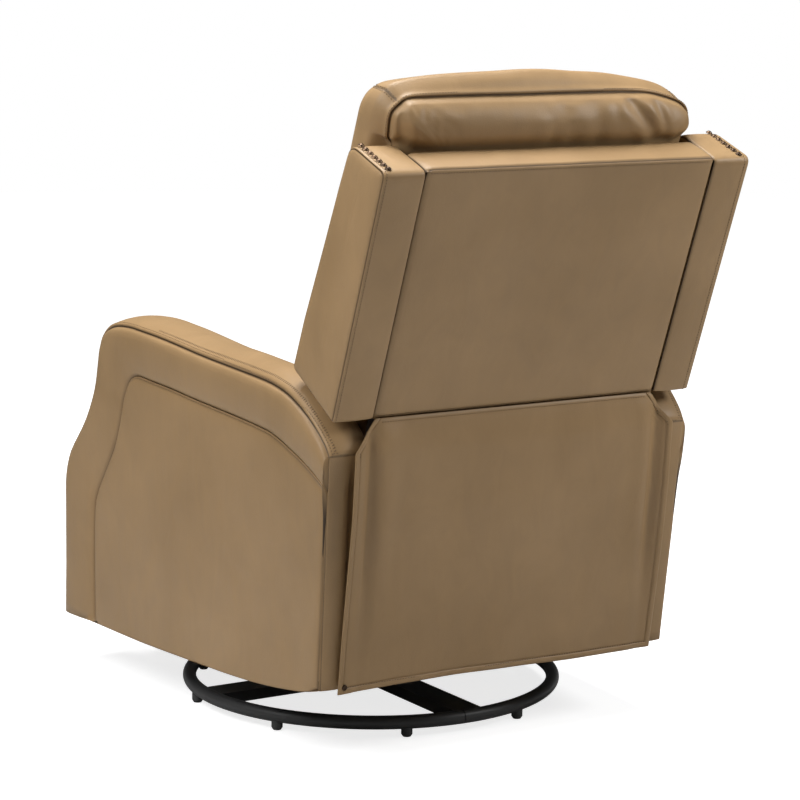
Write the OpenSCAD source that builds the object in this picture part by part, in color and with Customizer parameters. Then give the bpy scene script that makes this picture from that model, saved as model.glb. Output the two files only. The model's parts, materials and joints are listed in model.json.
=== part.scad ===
// Swivel rocker recliner with a wing back, on a ring base.
// Z is up, the chair faces -Y and the sitter's left hand is +X.
// The origin lies on the floor, on the swivel axis.

/* [Body] */
// Distance between the inner faces of the two arms
seat_w = 490; // [440:5:560]
// Width over both arms at their front
arm_span_front = 730; // [680:5:820]
// Width over both arms at their rear
arm_span_rear = 640; // [600:5:680]
// Reach of the arms in front of the swivel axis
arm_front = 405; // [395:1:430]
// Reach of the arms behind the swivel axis
arm_rear = 409; // [400:1:420]
// Height of the lower edge of the arms above the floor
body_z = 86; // [78:1:92]
// Height of the arm tops above the floor
arm_top_z = 616; // [600:1:640]
// Rounding of the long edges of the arms
arm_round = 16; // [8:1:22]
// Thickness of the padding round the hollow of an arm
arm_wall = 24; // [18:1:30]
// Extra height of the arm padding along the middle of its top
arm_crown = 7; // [0:1:10]
// Depth of the pocket that takes the side panel
pocket_d = 6; // [4:0.5:8]
// Thickness of the side panel in its pocket
side_panel_t = 5; // [3:0.5:7]

/* [Back] */
// Backward lean of the upright back, in degrees
back_lean = 20.6; // [16:0.2:24]
// Distance of the lower edge of the back behind the swivel axis
back_y = 416; // [414:1:426]
// Height of the lower edge of the back above the floor
back_z = 535; // [530:1:550]
// Length of the outer back panel along its lean
back_len = 400; // [370:5:430]
// Distance of a wing's inner face outside an arm's inner face
wing_set = 10; // [6:1:14]
// Width of one wing
wing_w = 67; // [55:1:80]
// Depth of a wing at its lower end
wing_depth_low = 134; // [120:1:140]
// Depth of a wing at its top
wing_depth_top = 102; // [90:1:115]
// Thickness of the outer back panel
panel_t = 22; // [16:1:24]
// Depth of the top face of the outer back panel
panel_top_depth = 60; // [45:1:62]
// Front face of the cushions, measured from the outer back panel
cushion_front = 215; // [190:5:230]
// Seam between the back cushion and the head cushion
cushion_split = 250; // [220:5:280]
// Top of the head cushion, along the lean
head_top = 516; // [500:1:540]
// Distance that the head cushion stays inside the wings' outer faces, on each side
head_inset = 31; // [20:1:45]
// Number of nails along one wing
nail_count = 7; // [4:1:10]
// Radius of a nail's domed head
nail_r = 4.5; // [3:0.5:6]

/* [Seat] */
// Height of the underside of the seat cushion
seat_z = 404; // [404:1:420]
// Thickness of the seat cushion at its crown
seat_t = 92; // [80:1:100]
// Reach of the seat cushion in front of the swivel axis
seat_front = 398; // [385:1:402]
// Reach of the seat cushion behind the swivel axis
seat_rear = 246; // [225:1:248]
// Height of the seat's wooden rails
seat_rail_h = 36; // [28:1:38]

/* [Base] */
// Radius of the floor ring, to the middle of its tube
ring_r = 302; // [270:1:320]
// Diameter of the ring's tube
ring_tube = 22; // [18:1:26]
// Height of a rubber foot under the ring
foot_h = 12; // [8:1:16]
// Diameter of a rubber foot
foot_d = 18; // [12:1:22]
// Number of rubber feet
foot_count = 9; // [6:1:12]
// Width of the flat cross bars
bar_w = 50; // [36:1:60]
// Height of the flat cross bars
bar_h = 18; // [14:1:20]
// Radius of the swivel bearing
bearing_r = 105; // [95:1:115]
// Radius of a bearing ball
ball_r = 5; // [4:0.5:6]
// Number of bearing balls
ball_count = 24; // [12:1:36]
// Radius of the king bolt
king_r = 6; // [5:0.5:8]

/* [Rocker] */
// Height of the rocking axis above the floor
rock_z = 140; // [136:1:146]
// Largest rocking angle each way, in degrees
rock_deg = 7; // [4:0.5:8]
// Radius of the rocking pins
rock_pin_r = 8; // [6:0.5:10]
// Thickness of the rocker's ears and hangers
ear_t = 5; // [4:0.5:6]
// Height of the underside of the cradle rails
rail_z = 170; // [166:1:176]
// Distance of the cradle rails from the rocking axis
rail_y = 70; // [60:1:74]
// Side of the square cradle rails
rail_s = 30; // [24:1:34]
// Wall of the square cradle rails
rail_wall = 2.5; // [2:0.5:4]
// Radius of a rocker spring, to the middle of its wire
spring_r = 17; // [14:1:20]
// Radius of the rocker spring's wire
wire_r = 2.5; // [2:0.25:3]
// Number of coils in a rocker spring
spring_turns = 6; // [4:1:8]

/* [Mechanism] */
// Thickness of the wooden side boards
board_t = 18; // [15:1:20]
// Thickness of the steel side plates
plate_t = 3; // [2.5:0.5:3.5]
// Thickness of the steel links
link_t = 3; // [2.5:0.25:3.25]
// Gap between neighbouring layers of links
link_gap = 1; // [0.75:0.05:1.2]
// Width of the links
link_w = 20; // [16:1:22]
// Length of the main and follower links of the footrest
link_len = 270; // [255:1:275]
// Angle of the stowed links behind the vertical, in degrees
stow_deg = 30; // [27:1:32]
// Turn of the footrest from stowed to open, in degrees
open_deg = 90; // [80:1:90]
// Radius of the link pins
pin_r = 4; // [3:0.5:5]
// Turn of the back from upright to reclined, in degrees
recline_deg = 35; // [25:1:36]
// Forward travel of the seat as the back reclines
seat_travel = 40; // [30:1:42]
// Radius of the seat's slide pins
slide_r = 5; // [4:0.5:6]
// Radius of the back's hinge pins
hinge_r = 6; // [5:0.5:7]
// Running clearance round every pin
fit = 0.05; // [0.02:0.01:0.09]
// Gap that soft pieces keep from what moves past them
soft_gap = 0.3; // [0.2:0.1:0.5]

/* [Footrest] */
// Height of the lower edge of the stowed footrest above the floor
rest_z = 112; // [108:1:120]
// Height of the footrest pad
rest_h = 246; // [225:1:247]
// Gap between the footrest pad and an arm, on each side
rest_side_gap = 5; // [4:0.5:12]
// Thickness of the footrest board
rest_board_t = 15; // [12:1:18]
// Thickness of the footrest cushion
rest_t = 48; // [40:1:50]

/* [Lever] */
// Length of the release lever's paddle
lever_len = 130; // [100:5:150]
// Thickness of the paddle
lever_t = 12; // [10:1:14]
// Radius of the lever's shaft
lever_r = 6; // [5:0.5:7]

/* [Hidden] */

// Smoothness of round parts
$fn = 48;
// Overrun of every cut past the face that it opens
over = 1;
hair = 0.02;

// Colours, as the chair shows them
leather = [0.56, 0.45, 0.33];
leather_light = [0.62, 0.51, 0.38];
steel_black = [0.06, 0.06, 0.07];
zinc = [0.55, 0.56, 0.58];
pine = [0.76, 0.62, 0.42];
rubber = [0.08, 0.08, 0.08];
dark_nail = [0.23, 0.17, 0.12];

// Sides of the body
arm_len = arm_front + arm_rear;
arm_h = arm_top_z - body_z;
arm_in = seat_w / 2;
rest_w = seat_w - 2 * rest_side_gap;
arm_out_front = arm_span_front / 2;
arm_out_rear = arm_span_rear / 2;
arm_out_most = max(arm_out_front, arm_out_rear);
flare_slope = (arm_out_front - arm_out_rear) / arm_len;
flare_deg = atan(flare_slope);

// Layers of the mechanism, counted inward from the arm's inner face
board_in = arm_in - board_t;
plate_in = board_in - plate_t;
layer_pitch = link_t + link_gap;
layer1 = plate_in - layer_pitch;
layer2 = layer1 - layer_pitch;
layer3 = layer2 - layer_pitch;
head_t = 1.5;
head_rim = 3;
head_r = pin_r + head_rim;

// Heights of the base
ring_z = foot_h + ring_tube / 2;
bar_top = ring_z + bar_h / 2;
race_h = 9;
race_gap = 4;
race_in = 48;
race_pitch = (bearing_r + race_in) / 2;
ball_z = bar_top + race_h + race_gap / 2;
rocker_z = bar_top + 2 * race_h + race_gap;
rocker_t = 6;
rocker_top = rocker_z + rocker_t;
weld_gap = 0.3;

// Places of the rocker
ear_x = 120;
hanger_x = ear_x + ear_t + link_gap;
rocker_half_x = ear_x + ear_t;
rocker_overhang = 40;
rocker_half_y = rail_y + rocker_overhang;
pivot_wall = 10;
pivot_boss = rock_pin_r + pivot_wall;
spring_x = 62;
bump_r = 14;
bump_h = 24;
column_r = 10;
bump_top = rock_z + (rail_z - rock_z) * cos(rock_deg) - (rail_y + bump_r) * sin(rock_deg) - soft_gap;

// Joints of the footrest linkage, as places in Y and Z
carrier_back = 65;
crank = 50;
pivot_front = 300;
pivot_top = 385;
rest_face = arm_front - rest_t - soft_gap - rest_board_t;
rest_pivot_back = 17;
rest_pivot_up = 158;
stow_dir = stow_deg - 90;
function polar(r, a) = [r * cos(a), r * sin(a)];
joint_a0 = [-pivot_front, pivot_top];
joint_a1 = joint_a0 + polar(link_len, stow_dir);
joint_p = [-(rest_face - rest_pivot_back), rest_z + rest_pivot_up];
carrier_vec = joint_p - joint_a1;
carrier_dir = atan2(carrier_vec[1], carrier_vec[0]);
// The second pair of pivots stands square to the links half way through their swing
back_dir = stow_dir - open_deg / 2 + 90;
joint_b0 = joint_a0 + polar(carrier_back, back_dir);
joint_b1 = joint_a1 + polar(carrier_back, back_dir);
// The crank stands square to the carrier half way through its swing
crank_dir = carrier_dir + 90 + open_deg / 2;
joint_a2 = joint_a1 + polar(crank, crank_dir);
joint_c1 = joint_p + polar(crank, crank_dir);
tube_from_pivot = 90;
tube_r = 9;
tube_place = joint_a0 + polar(tube_from_pivot, stow_dir);

// Side plates and what they carry
plate_low = 300;
plate_boss = 15;
plate_top = pivot_top + plate_boss;
board_low = 130;
board_top = 350;
board_front = 322;
board_rear = 345;
slide_z = 382;
slide_front = 120;
slide_rear = 140;
slide_room = 0.6;

// Hinge of the back and the arm that pushes the seat
hinge_y = 270;
hinge_z = 430;
push_r = seat_travel / (2 * sin(recline_deg / 2));
push_tip = [hinge_y, hinge_z] + polar(push_r, recline_deg / 2 - 90);
push_len = 121;
push_seat = push_tip - [push_len, 0];
push_w = 18;
// Height that the pushing arm dips half way through its swing
push_dip = push_r * (1 - cos(recline_deg / 2));

// Seat frame
seat_rail_t = 18;
seat_rail_gap = 8;
seat_rail_out = layer3 - seat_rail_gap;
wire_seat = 3;
seat_rail_low = seat_z - soft_gap - wire_seat - seat_rail_h;
front_rail_inset = 6;
front_rail_y = -(seat_front - front_rail_inset);
rear_rail_y = 160;
rear_rail_drop = 14;
seat_wire_count = 5;
seat_wire_turns = 9;

// Back frame, in the leaning frame of the back
rail_n = panel_t + soft_gap;
back_rail_t = 17;
post_n = rail_n + back_rail_t;
post_t = 22;
post_w = 35;
post_out = layer2;
post_low = -165;
strap_room = 2;
cushion_back = post_n + post_t + strap_room;
back_low = -112;
back_half = arm_in + wing_set;
wing_half = back_half + wing_w;
head_w = 2 * (wing_half - head_inset);
panel_gap = 0.5;
panel_half = back_half - panel_gap;
cushion_side_gap = 4;
cushion_w = seat_w - 2 * cushion_side_gap;
side_pinch = 6;
top_cover_t = 7;
band_t = 1.5;
band_w = 50;

// Swivel shaft of the lever
lever_y = -150;
lever_z = 330;
lever_out = max(arm_out_rear, arm_out_rear + flare_slope * (arm_rear - lever_y + lever_len));
lever_gap = 2;
lever_room = 1;

module side(s) {
    mirror([s < 0 ? 1 : 0, 0, 0]) children();
}

// Extrudes a shape drawn in Y and Z from x0 outward by t
module yz(x0, t) {
    translate([x0, 0, 0]) rotate([90, 0, 90]) linear_extrude(t) children();
}

// A pin along X
module pin_x(r, x0, x1, at) {
    translate([x0, at[0], at[1]]) rotate([0, 90, 0]) cylinder(h = x1 - x0, r = r);
}

// A rivet whose head lies on the inner side, at the lower x
module rivet(x0, x1, at) {
    pin_x(pin_r, x0 - hair, x1, at);
    pin_x(head_r, x0 - hair - head_t, x0 - hair, at);
}

// A bar between two round eyes, a little narrower than they are
neck_share = 0.96;
module bar(a, b, w) {
    v = b - a;
    neck = w * neck_share;
    translate(a) circle(d = w);
    translate(b) circle(d = w);
    translate(a) rotate(atan2(v[1], v[0])) translate([0, -neck / 2]) square([norm(v), neck]);
}

module hole(at, r) {
    translate(at) circle(r = r);
}

module at_back() {
    translate([0, back_y, back_z]) rotate([-back_lean, 0, 0]) children();
}

// A smooth curve through the points, with n steps between two of them
function spline(p, n) = [
    for (i = [0 : len(p) - 2], k = [0 : n - 1])
        let (
            a = p[max(i - 1, 0)], b = p[i], c = p[i + 1], d = p[min(i + 2, len(p) - 1)],
            t = k / n
        )
        0.5 * (2 * b + (c - a) * t + (2 * a - 5 * b + 4 * c - d) * t * t
            + (3 * b - a - 3 * c + d) * t * t * t),
    p[len(p) - 1]
];

// Outward normal of a clockwise outline at point i
function normal_at(p, i) =
    let (
        n = len(p),
        d = p[(i + 1) % n] - p[(i + n - 1) % n]
    )
    [-d[1], d[0]] / max(norm(d), hair);

// A closed skin over rings that have equally many points
module skin(rings, strip = false) {
    m = len(rings[0]);
    n = len(rings);
    points = [for (r = rings, q = r) q];
    sides = [
        for (k = [0 : n - 2], i = [0 : m - 1])
            let (a = k * m + i, b = k * m + (i + 1) % m)
            each [[a, b, b + m], [a, b + m, a + m]]
    ];
    // The ends of a thin sheet are strips between its two faces
    first = strip
        ? [for (i = [0 : m / 2 - 2]) each [[i + 1, i, m - 2 - i], [m - 2 - i, i, m - 1 - i]]]
        : [[for (i = [m - 1 : -1 : 0]) i]];
    last = strip
        ? [for (f = first) [for (i = [2 : -1 : 0]) (n - 1) * m + f[i]]]
        : [[for (i = [0 : m - 1]) (n - 1) * m + i]];
    polyhedron(points = points, faces = concat(sides, first, last), convexity = 6);
}

// Steps from -1 to 1 that lie closer together towards the ends
function fine_steps(n) = [for (i = [0 : n]) sin(90 * (2 * i / n - 1))];
function swell(u, e) = max(0, 1 - pow(abs(u), e));
function valley(v, places, width) =
    len(places) == 0 ? 0 : max([for (c = places) exp(-pow((v - c) / width, 2))]);

// How squarely a cushion's section rises from its seam
box_form = [6, 0.33];
dome_form = [2.3, 0.85];

// A sewn cushion: w wide, l long, its seam at height zero, a crown of up above it and of
// down below it. Its sides draw in by pinch between the corners. Channels run across its
// top at the shares of its half length that are listed.
module cushion(w, l, up, down, pinch, channel_shares = [], channel_d = 0, nu = 12, nv = 12, dome = box_form) {
    us = fine_steps(nu);
    vs = fine_steps(nv);
    channel_w_share = 0.06;
    fall_share = 0.1;
    function plan(u, v) = [
        w / 2 * u - pinch * u * pow(abs(u), 3) * (1 - v * v),
        l / 2 * v - pinch * v * pow(abs(v), 3) * (1 - u * u)
    ];
    function rise(u, v, form = box_form) =
        pow(swell(u, box_form[0]), box_form[1]) * pow(swell(v, form[0]), form[1]);
    function upper(u, v) =
        rise(u, v, dome) * (up - channel_d * valley(v, channel_shares, channel_w_share)) * (1 - fall_share * u * u);
    top = [for (v = vs, u = us) concat(plan(u, v), upper(u, v))];
    low = [
        for (j = [1 : nv - 1], i = [1 : nu - 1])
            concat(plan(us[i], vs[j]), -down * rise(us[i], vs[j]))
    ];
    function ti(i, j) = j * (nu + 1) + i;
    function li(i, j) =
        (i == 0 || j == 0 || i == nu || j == nv)
            ? ti(i, j)
            : (nu + 1) * (nv + 1) + (j - 1) * (nu - 1) + i - 1;
    faces = [
        for (j = [0 : nv - 1], i = [0 : nu - 1])
            each [
                [ti(i, j), ti(i + 1, j + 1), ti(i, j + 1)],
                [ti(i, j), ti(i + 1, j), ti(i + 1, j + 1)],
                [li(i, j), li(i, j + 1), li(i + 1, j)],
                [li(i + 1, j), li(i, j + 1), li(i + 1, j + 1)]
            ]
    ];
    polyhedron(points = concat(top, low), faces = faces, convexity = 6);
}

// Base that stands on the floor
module ring_solid(r) {
    rotate_extrude($fn = 96) translate([ring_r, 0]) circle(r = r, $fn = 24);
}

module base_ring() {
    joint_deg = -3;
    groove = 1.2;
    color(steel_black) translate([0, 0, ring_z]) difference() {
        ring_solid(ring_tube / 2);
        rotate([0, 0, 90 + joint_deg]) rotate_extrude(angle = 0.3, $fn = 96) translate([ring_r, 0]) difference() {
            circle(r = ring_tube / 2 + over, $fn = 24);
            circle(r = ring_tube / 2 - groove, $fn = 24);
        }
    }
}

module base_bar_long() {
    color(steel_black) difference() {
        translate([-ring_r, -bar_w / 2, ring_z - bar_h / 2]) cube([2 * ring_r, bar_w, bar_h]);
        translate([0, 0, ring_z]) ring_solid(ring_tube / 2 + weld_gap);
        difference() {
            translate([0, 0, ring_z - bar_h]) cylinder(r = 2 * ring_r, h = 2 * bar_h, $fn = 96);
            translate([0, 0, ring_z - bar_h - over]) cylinder(r = ring_r, h = 2 * bar_h + 2 * over, $fn = 96);
        }
        translate([0, 0, ring_z - bar_h]) cylinder(r = king_r + fit, h = 2 * bar_h);
    }
}

module base_bar_halves() {
    start = bar_w / 2 + weld_gap;
    color(steel_black) for (s = [-1, 1]) difference() {
        translate([-bar_w / 2, s > 0 ? start : -ring_r, ring_z - bar_h / 2])
            cube([bar_w, ring_r - start, bar_h]);
        translate([0, 0, ring_z]) ring_solid(ring_tube / 2 + weld_gap);
        difference() {
            translate([0, 0, ring_z - bar_h]) cylinder(r = 2 * ring_r, h = 2 * bar_h, $fn = 96);
            translate([0, 0, ring_z - bar_h - over]) cylinder(r = ring_r, h = 2 * bar_h + 2 * over, $fn = 96);
        }
    }
}

module foot_pads() {
    first_deg = 69.5;
    sole = 0.7;
    color(rubber) difference() {
        for (i = [0 : foot_count - 1]) rotate([0, 0, first_deg + i * 360 / foot_count])
            translate([ring_r, 0, 0]) {
                cylinder(r1 = foot_d / 2 * sole, r2 = foot_d / 2, h = foot_h / 3);
                translate([0, 0, foot_h / 3]) cylinder(r = foot_d / 2, h = foot_h * 2 / 3 + ring_tube / 6);
            }
        translate([0, 0, ring_z]) ring_solid(ring_tube / 2 + hair);
        // Room for the cross bars
        for (a = [0, 90]) rotate([0, 0, a]) translate([-ring_r, -bar_w / 2 - weld_gap, ring_z - bar_h / 2 - weld_gap])
            cube([2 * ring_r, bar_w + 2 * weld_gap, bar_h + 2 * weld_gap]);
    }
}

module race(low) {
    rotate_extrude() difference() {
        translate([race_in, low]) square([bearing_r - race_in, race_h]);
        translate([race_pitch, ball_z]) circle(r = ball_r + fit);
    }
}

module bearing_lower() {
    color(zinc) race(bar_top);
}

module bearing_upper() {
    color(zinc) race(bar_top + race_h + race_gap);
}

module bearing_balls() {
    color(zinc) for (i = [0 : ball_count - 1]) rotate([0, 0, i * 360 / ball_count])
        translate([race_pitch, 0, ball_z]) sphere(r = ball_r, $fn = 24);
}

module king_bolt() {
    king_head = 6;
    low = ring_z - bar_h / 2;
    color(zinc) {
        translate([0, 0, low - king_head - hair]) cylinder(r = 2 * king_r, h = king_head, $fn = 6);
        translate([0, 0, low - hair]) cylinder(r = king_r, h = rocker_top - low + 2 * hair);
        translate([0, 0, rocker_top + hair]) cylinder(r = 2 * king_r, h = king_head, $fn = 6);
    }
}

// Turning rocker stand
module rocker_plate() {
    color(steel_black) difference() {
        translate([-rocker_half_x, -rocker_half_y, rocker_z])
            cube([2 * rocker_half_x, 2 * rocker_half_y, rocker_t]);
        translate([0, 0, rocker_z - over]) cylinder(r = king_r + fit, h = rocker_t + 2 * over);
    }
}

module rocker_ears() {
    color(steel_black) for (s = [-1, 1]) side(s) yz(ear_x, ear_t) difference() {
        union() {
            translate([0, rock_z]) circle(r = pivot_boss);
            polygon([
                [-rocker_half_y / 2, rocker_top], [rocker_half_y / 2, rocker_top],
                [pivot_boss, rock_z], [-pivot_boss, rock_z]
            ]);
        }
        hole([0, rock_z], rock_pin_r + fit);
    }
}

module rocker_columns() {
    color(steel_black) for (s = [-1, 1]) translate([0, s * rail_y, rocker_top])
        cylinder(r = column_r, h = bump_top - bump_h - rocker_top);
}

module bump_stops() {
    bump_chamfer = 3;
    color(rubber) for (s = [-1, 1]) translate([0, s * rail_y, bump_top - bump_h]) {
        cylinder(r = bump_r, h = bump_h - bump_chamfer);
        translate([0, 0, bump_h - bump_chamfer])
            cylinder(r1 = bump_r, r2 = bump_r - bump_chamfer, h = bump_chamfer);
    }
}

// A coil spring as one unbroken tube, eight rings a turn
turn_rings = 8;
wire_sides = 6;
spring_low = rocker_top + soft_gap;
spring_h = rail_z - soft_gap - spring_low;
spring_steps = turn_rings * spring_turns;
function spring_mid(k) =
    let (a = 360 * k / turn_rings)
    [spring_r * cos(a), spring_r * sin(a), wire_r + (spring_h - 2 * wire_r) * k / spring_steps];
function spring_ring(k) = [
    for (i = [wire_sides - 1 : -1 : 0])
        let (a = 360 * k / turn_rings, b = 360 * i / wire_sides, out = wire_r * cos(b))
        spring_mid(k) + [out * cos(a), out * sin(a), wire_r * sin(b)]
];
spring_self_gap = min([
    for (k = [0 : spring_steps - turn_rings / 2], j = [k + turn_rings / 2 : spring_steps])
        norm(spring_mid(k) - spring_mid(j)) - 2 * wire_r
]);
echo(spring_self_gap_mm = spring_self_gap);

module rock_springs() {
    color(zinc) for (sx = [-1, 1], sy = [-1, 1]) translate([sx * spring_x, sy * rail_y, spring_low])
        skin([for (k = [0 : spring_steps]) spring_ring(k)]);
}

// Rocking frame
module rock_pins() {
    pin_head = 3;
    color(zinc) for (s = [-1, 1]) side(s) {
        pin_x(rock_pin_r, ear_x - hair, hanger_x + ear_t + hair, [0, rock_z]);
        pin_x(rock_pin_r + pin_head, hanger_x + ear_t + hair, hanger_x + ear_t + hair + pin_head, [0, rock_z]);
    }
}

module cradle_hangers() {
    top_half = rail_y + rail_s / 2;
    color(steel_black) for (s = [-1, 1]) side(s) yz(hanger_x, ear_t) difference() {
        union() {
            translate([0, rock_z]) circle(r = pivot_boss);
            polygon([[-pivot_boss, rock_z], [-top_half, rail_z], [top_half, rail_z], [pivot_boss, rock_z]]);
        }
        hole([0, rock_z], rock_pin_r + fit);
        translate([-top_half, rail_z]) square([2 * top_half, rail_s]);
    }
}

module cradle_rail(y) {
    color(steel_black) translate([-board_in, y - rail_s / 2, rail_z]) difference() {
        cube([2 * board_in, rail_s, rail_s]);
        translate([-over, rail_wall, rail_wall])
            cube([2 * board_in + 2 * over, rail_s - 2 * rail_wall, rail_s - 2 * rail_wall]);
    }
}

module cradle_rail_front() {
    cradle_rail(-rail_y);
}

module cradle_rail_rear() {
    cradle_rail(rail_y);
}

module side_board(s) {
    color(pine) side(s) difference() {
        translate([board_in, -board_front, board_low])
            cube([board_t, board_front + board_rear, board_top - board_low]);
        if (s < 0) pin_x(lever_r + fit, board_in - over, arm_in + over, [lever_y, lever_z]);
    }
}

module side_board_left() {
    side_board(1);
}

module side_board_right() {
    side_board(-1);
}

module side_plate(s) {
    color(steel_black) side(s) yz(plate_in, plate_t) difference() {
        union() {
            bar(joint_a0, [slide_rear, pivot_top], 2 * plate_boss);
            translate([-pivot_front - plate_boss, plate_low])
                square([pivot_front + plate_boss + hinge_y, pivot_top - plate_low]);
            bar([hinge_y, plate_low + plate_boss], [hinge_y, hinge_z], 2 * plate_boss);
        }
        hole(joint_a0, pin_r + fit);
        hole(joint_b0, pin_r + fit);
        hole([hinge_y, hinge_z], hinge_r + fit);
        for (y = [-slide_front, slide_rear])
            bar([y - seat_travel, slide_z], [y, slide_z], 2 * (slide_r + slide_room));
        if (s < 0) hole([lever_y, lever_z], lever_r + fit);
    }
}

module side_plate_left() {
    side_plate(1);
}

module side_plate_right() {
    side_plate(-1);
}

module frame_rivets() {
    color(zinc) for (s = [-1, 1]) side(s) {
        rivet(layer1, board_in, joint_a0);
        rivet(layer1, board_in, joint_b0);
        pin_x(hinge_r, layer2, board_in, [hinge_y, hinge_z]);
        pin_x(hinge_r + head_rim, layer2 + link_t + hair, plate_in - hair, [hinge_y, hinge_z]);
        pin_x(hinge_r + head_rim, layer2 - head_t - hair, layer2 - hair, [hinge_y, hinge_z]);
    }
}

module rear_rail() {
    rail_depth = 18;
    rail_high = 60;
    color(pine) translate([-board_in, board_rear - rail_depth, board_low])
        cube([2 * board_in, rail_depth, rail_high]);
}

// Outline of an arm seen from its side, as shares of its length and height
arm_front_shares = [
    [0, 0], [0.001, 0.17], [0.018, 0.517], [0.096, 0.713], [0.167, 0.904], [0.205, 0.964],
    [0.3, 0.996], [0.475, 0.993], [0.768, 0.953], [0.905, 0.891], [0.972, 0.821], [1, 0.747]
];
arm_low_shares = [[0.963, 0.074], [0.905, 0.049], [0.802, 0.019], [0.5, 0.004]];
// Outline of the side panel, in the same shares
inset_shares = [
    [0.111, 0], [0.12, 0.381], [0.183, 0.574], [0.226, 0.711], [0.269, 0.817],
    [0.397, 0.817], [0.55, 0.789], [0.74, 0.755], [0.837, 0.709], [0.948, 0.64]
];
inset_low_shares = [[0.913, 0.053], [0.905, 0.049], [0.802, 0.019], [0.5, 0.004]];

function arm_place(q) = [-arm_front + q[0] * arm_len, body_z + q[1] * arm_h];
arm_outline = [
    for (q = spline(arm_front_shares, 3)) arm_place(q),
    for (q = arm_low_shares) arm_place(q)
];
inset_outline = [
    for (q = spline(inset_shares, 3)) arm_place(q),
    for (q = inset_low_shares) arm_place(q)
];
arm_soft_count = 3 * (len(arm_front_shares) - 1) + 1;

// Places across the arm's thickness, and how far its edge is drawn in there
arm_hollow_share = 0.2;
arm_edge_shares = [[0, 1], [0.05, 0.4], [0.2, 0.05], [0.5, 0], [0.8, 0.03], [0.95, 0.35], [1, 0.9]];

function arm_outer(y) = arm_out_rear + flare_slope * (arm_rear - y);
function arm_ring(t, edge) = [
    for (i = [0 : len(arm_outline) - 1])
        let (
            q = arm_outline[i],
            n = normal_at(arm_outline, i),
            soft = i > 0 && i < arm_soft_count - 1 ? 1 : 0,
            grow = soft * (arm_crown * 4 * t * (1 - t) * max(0, n[1]) - arm_round * edge),
            y = q[0] + n[0] * grow,
            z = q[1] + n[1] * grow
        )
        [arm_in + t * (arm_outer(y) - arm_in), y, z]
];

// Hollow of an arm, open below
function hollow_ring(t) = [
    for (i = [0 : len(arm_outline) - 1])
        let (
            q = arm_outline[i],
            n = normal_at(arm_outline, i),
            low = i == 0 || i >= arm_soft_count,
            y = q[0] - n[0] * arm_wall + (i == 0 ? arm_wall : i == arm_soft_count ? -arm_wall : 0)
        )
        [arm_in + t * (arm_outer(y) - arm_in), y, low ? body_z - over : q[1] - n[1] * arm_wall]
];

// Stands the drawing on the flared outer face of the arm
module on_flare(depth) {
    translate([arm_out_rear - depth, arm_rear, 0]) rotate([0, 0, flare_deg])
        rotate([90, 0, 90]) linear_extrude(depth + over) children();
}

function on_slope(p) = [for (q = p) [(q[0] - arm_rear) / cos(flare_deg), q[1]]];

module arm(s) {
    color(leather) side(s) difference() {
        skin([for (e = arm_edge_shares) arm_ring(e[0], e[1])]);
        skin([for (t = [arm_hollow_share, 1 - arm_hollow_share]) hollow_ring(t)]);
        on_flare(pocket_d) difference() {
            polygon(on_slope(inset_outline));
            translate([-2 * arm_len, body_z - arm_h]) square([3 * arm_len, arm_h]);
        }
        if (s < 0) pin_x(lever_r + lever_room, arm_in - over, arm_out_most + over, [lever_y, lever_z]);
    }
}

module arm_left() {
    arm(1);
}

module arm_right() {
    arm(-1);
}

module side_panel(s) {
    hem = 1;
    color(leather_light) side(s) difference() {
        translate([arm_out_rear - pocket_d, arm_rear, 0]) rotate([0, 0, flare_deg])
            rotate([90, 0, 90]) linear_extrude(side_panel_t) difference() {
                polygon([for (q = on_slope(inset_outline)) [q[0], q[1]]]);
                for (i = [0 : len(inset_outline) - 1])
                    let (
                        p = on_slope(inset_outline),
                        a = p[i],
                        b = p[(i + 1) % len(p)]
                    )
                    bar(a, b, 2 * soft_gap);
                translate([-2 * arm_len, body_z - arm_h]) square([3 * arm_len, arm_h + hem]);
            }
        if (s < 0) pin_x(lever_r + lever_room, arm_in - over, arm_out_most + over, [lever_y, lever_z]);
    }
}

module side_panel_left() {
    side_panel(1);
}

module side_panel_right() {
    side_panel(-1);
}

// Loose leather that closes the body behind, with soft folds and two cut corners
skirt_low = 115;
skirt_t = 3;
skirt_inset = 31;
skirt_half = arm_out_rear - skirt_inset;
skirt_corner = 39;
skirt_corner_h = 48;
skirt_fold = 3;
skirt_top_gap = 2;
rear_top = arm_place(arm_front_shares[len(arm_front_shares) - 1]);
rear_low = arm_place(arm_low_shares[0]);
skirt_top = back_z - skirt_top_gap;
function skirt_y(z) =
    rear_low[0] + (z - rear_low[1]) * (rear_top[0] - rear_low[0]) / (rear_top[1] - rear_low[1]) + soft_gap;
function skirt_reach(z) = skirt_half - skirt_corner * max(0, (z - skirt_top + skirt_corner_h) / skirt_corner_h);

module rear_skirt() {
    rows = concat(
        [for (j = [0 : 6]) skirt_low + (skirt_top - skirt_corner_h - skirt_low) * j / 6],
        [skirt_top - skirt_corner_h / 2, skirt_top]
    );
    columns = 14;
    function fold(u, z) =
        skirt_fold * pow(max(0, 1 - pow(abs(u) / 0.8, 4)), 1)
            * (0.5 + 0.5 * sin(360 * (1.3 * u + (z - skirt_low) / (skirt_top - skirt_low) * 0.7)));
    function row(z, back) = [
        for (i = [0 : columns])
            let (u = 2 * i / columns - 1)
            [u * skirt_reach(z), skirt_y(z) + (back ? skirt_t : 0) + fold(u, z), z]
    ];
    function reversed(r) = [for (i = [len(r) - 1 : -1 : 0]) r[i]];
    color(leather) skin([for (z = rows) concat(reversed(row(z, true)), row(z, false))], true);
}

// Seat
module seat_rail_front() {
    color(leather_light) translate([-seat_rail_out, front_rail_y, seat_rail_low])
        cube([2 * seat_rail_out, seat_rail_t, seat_rail_h]);
}

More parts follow.
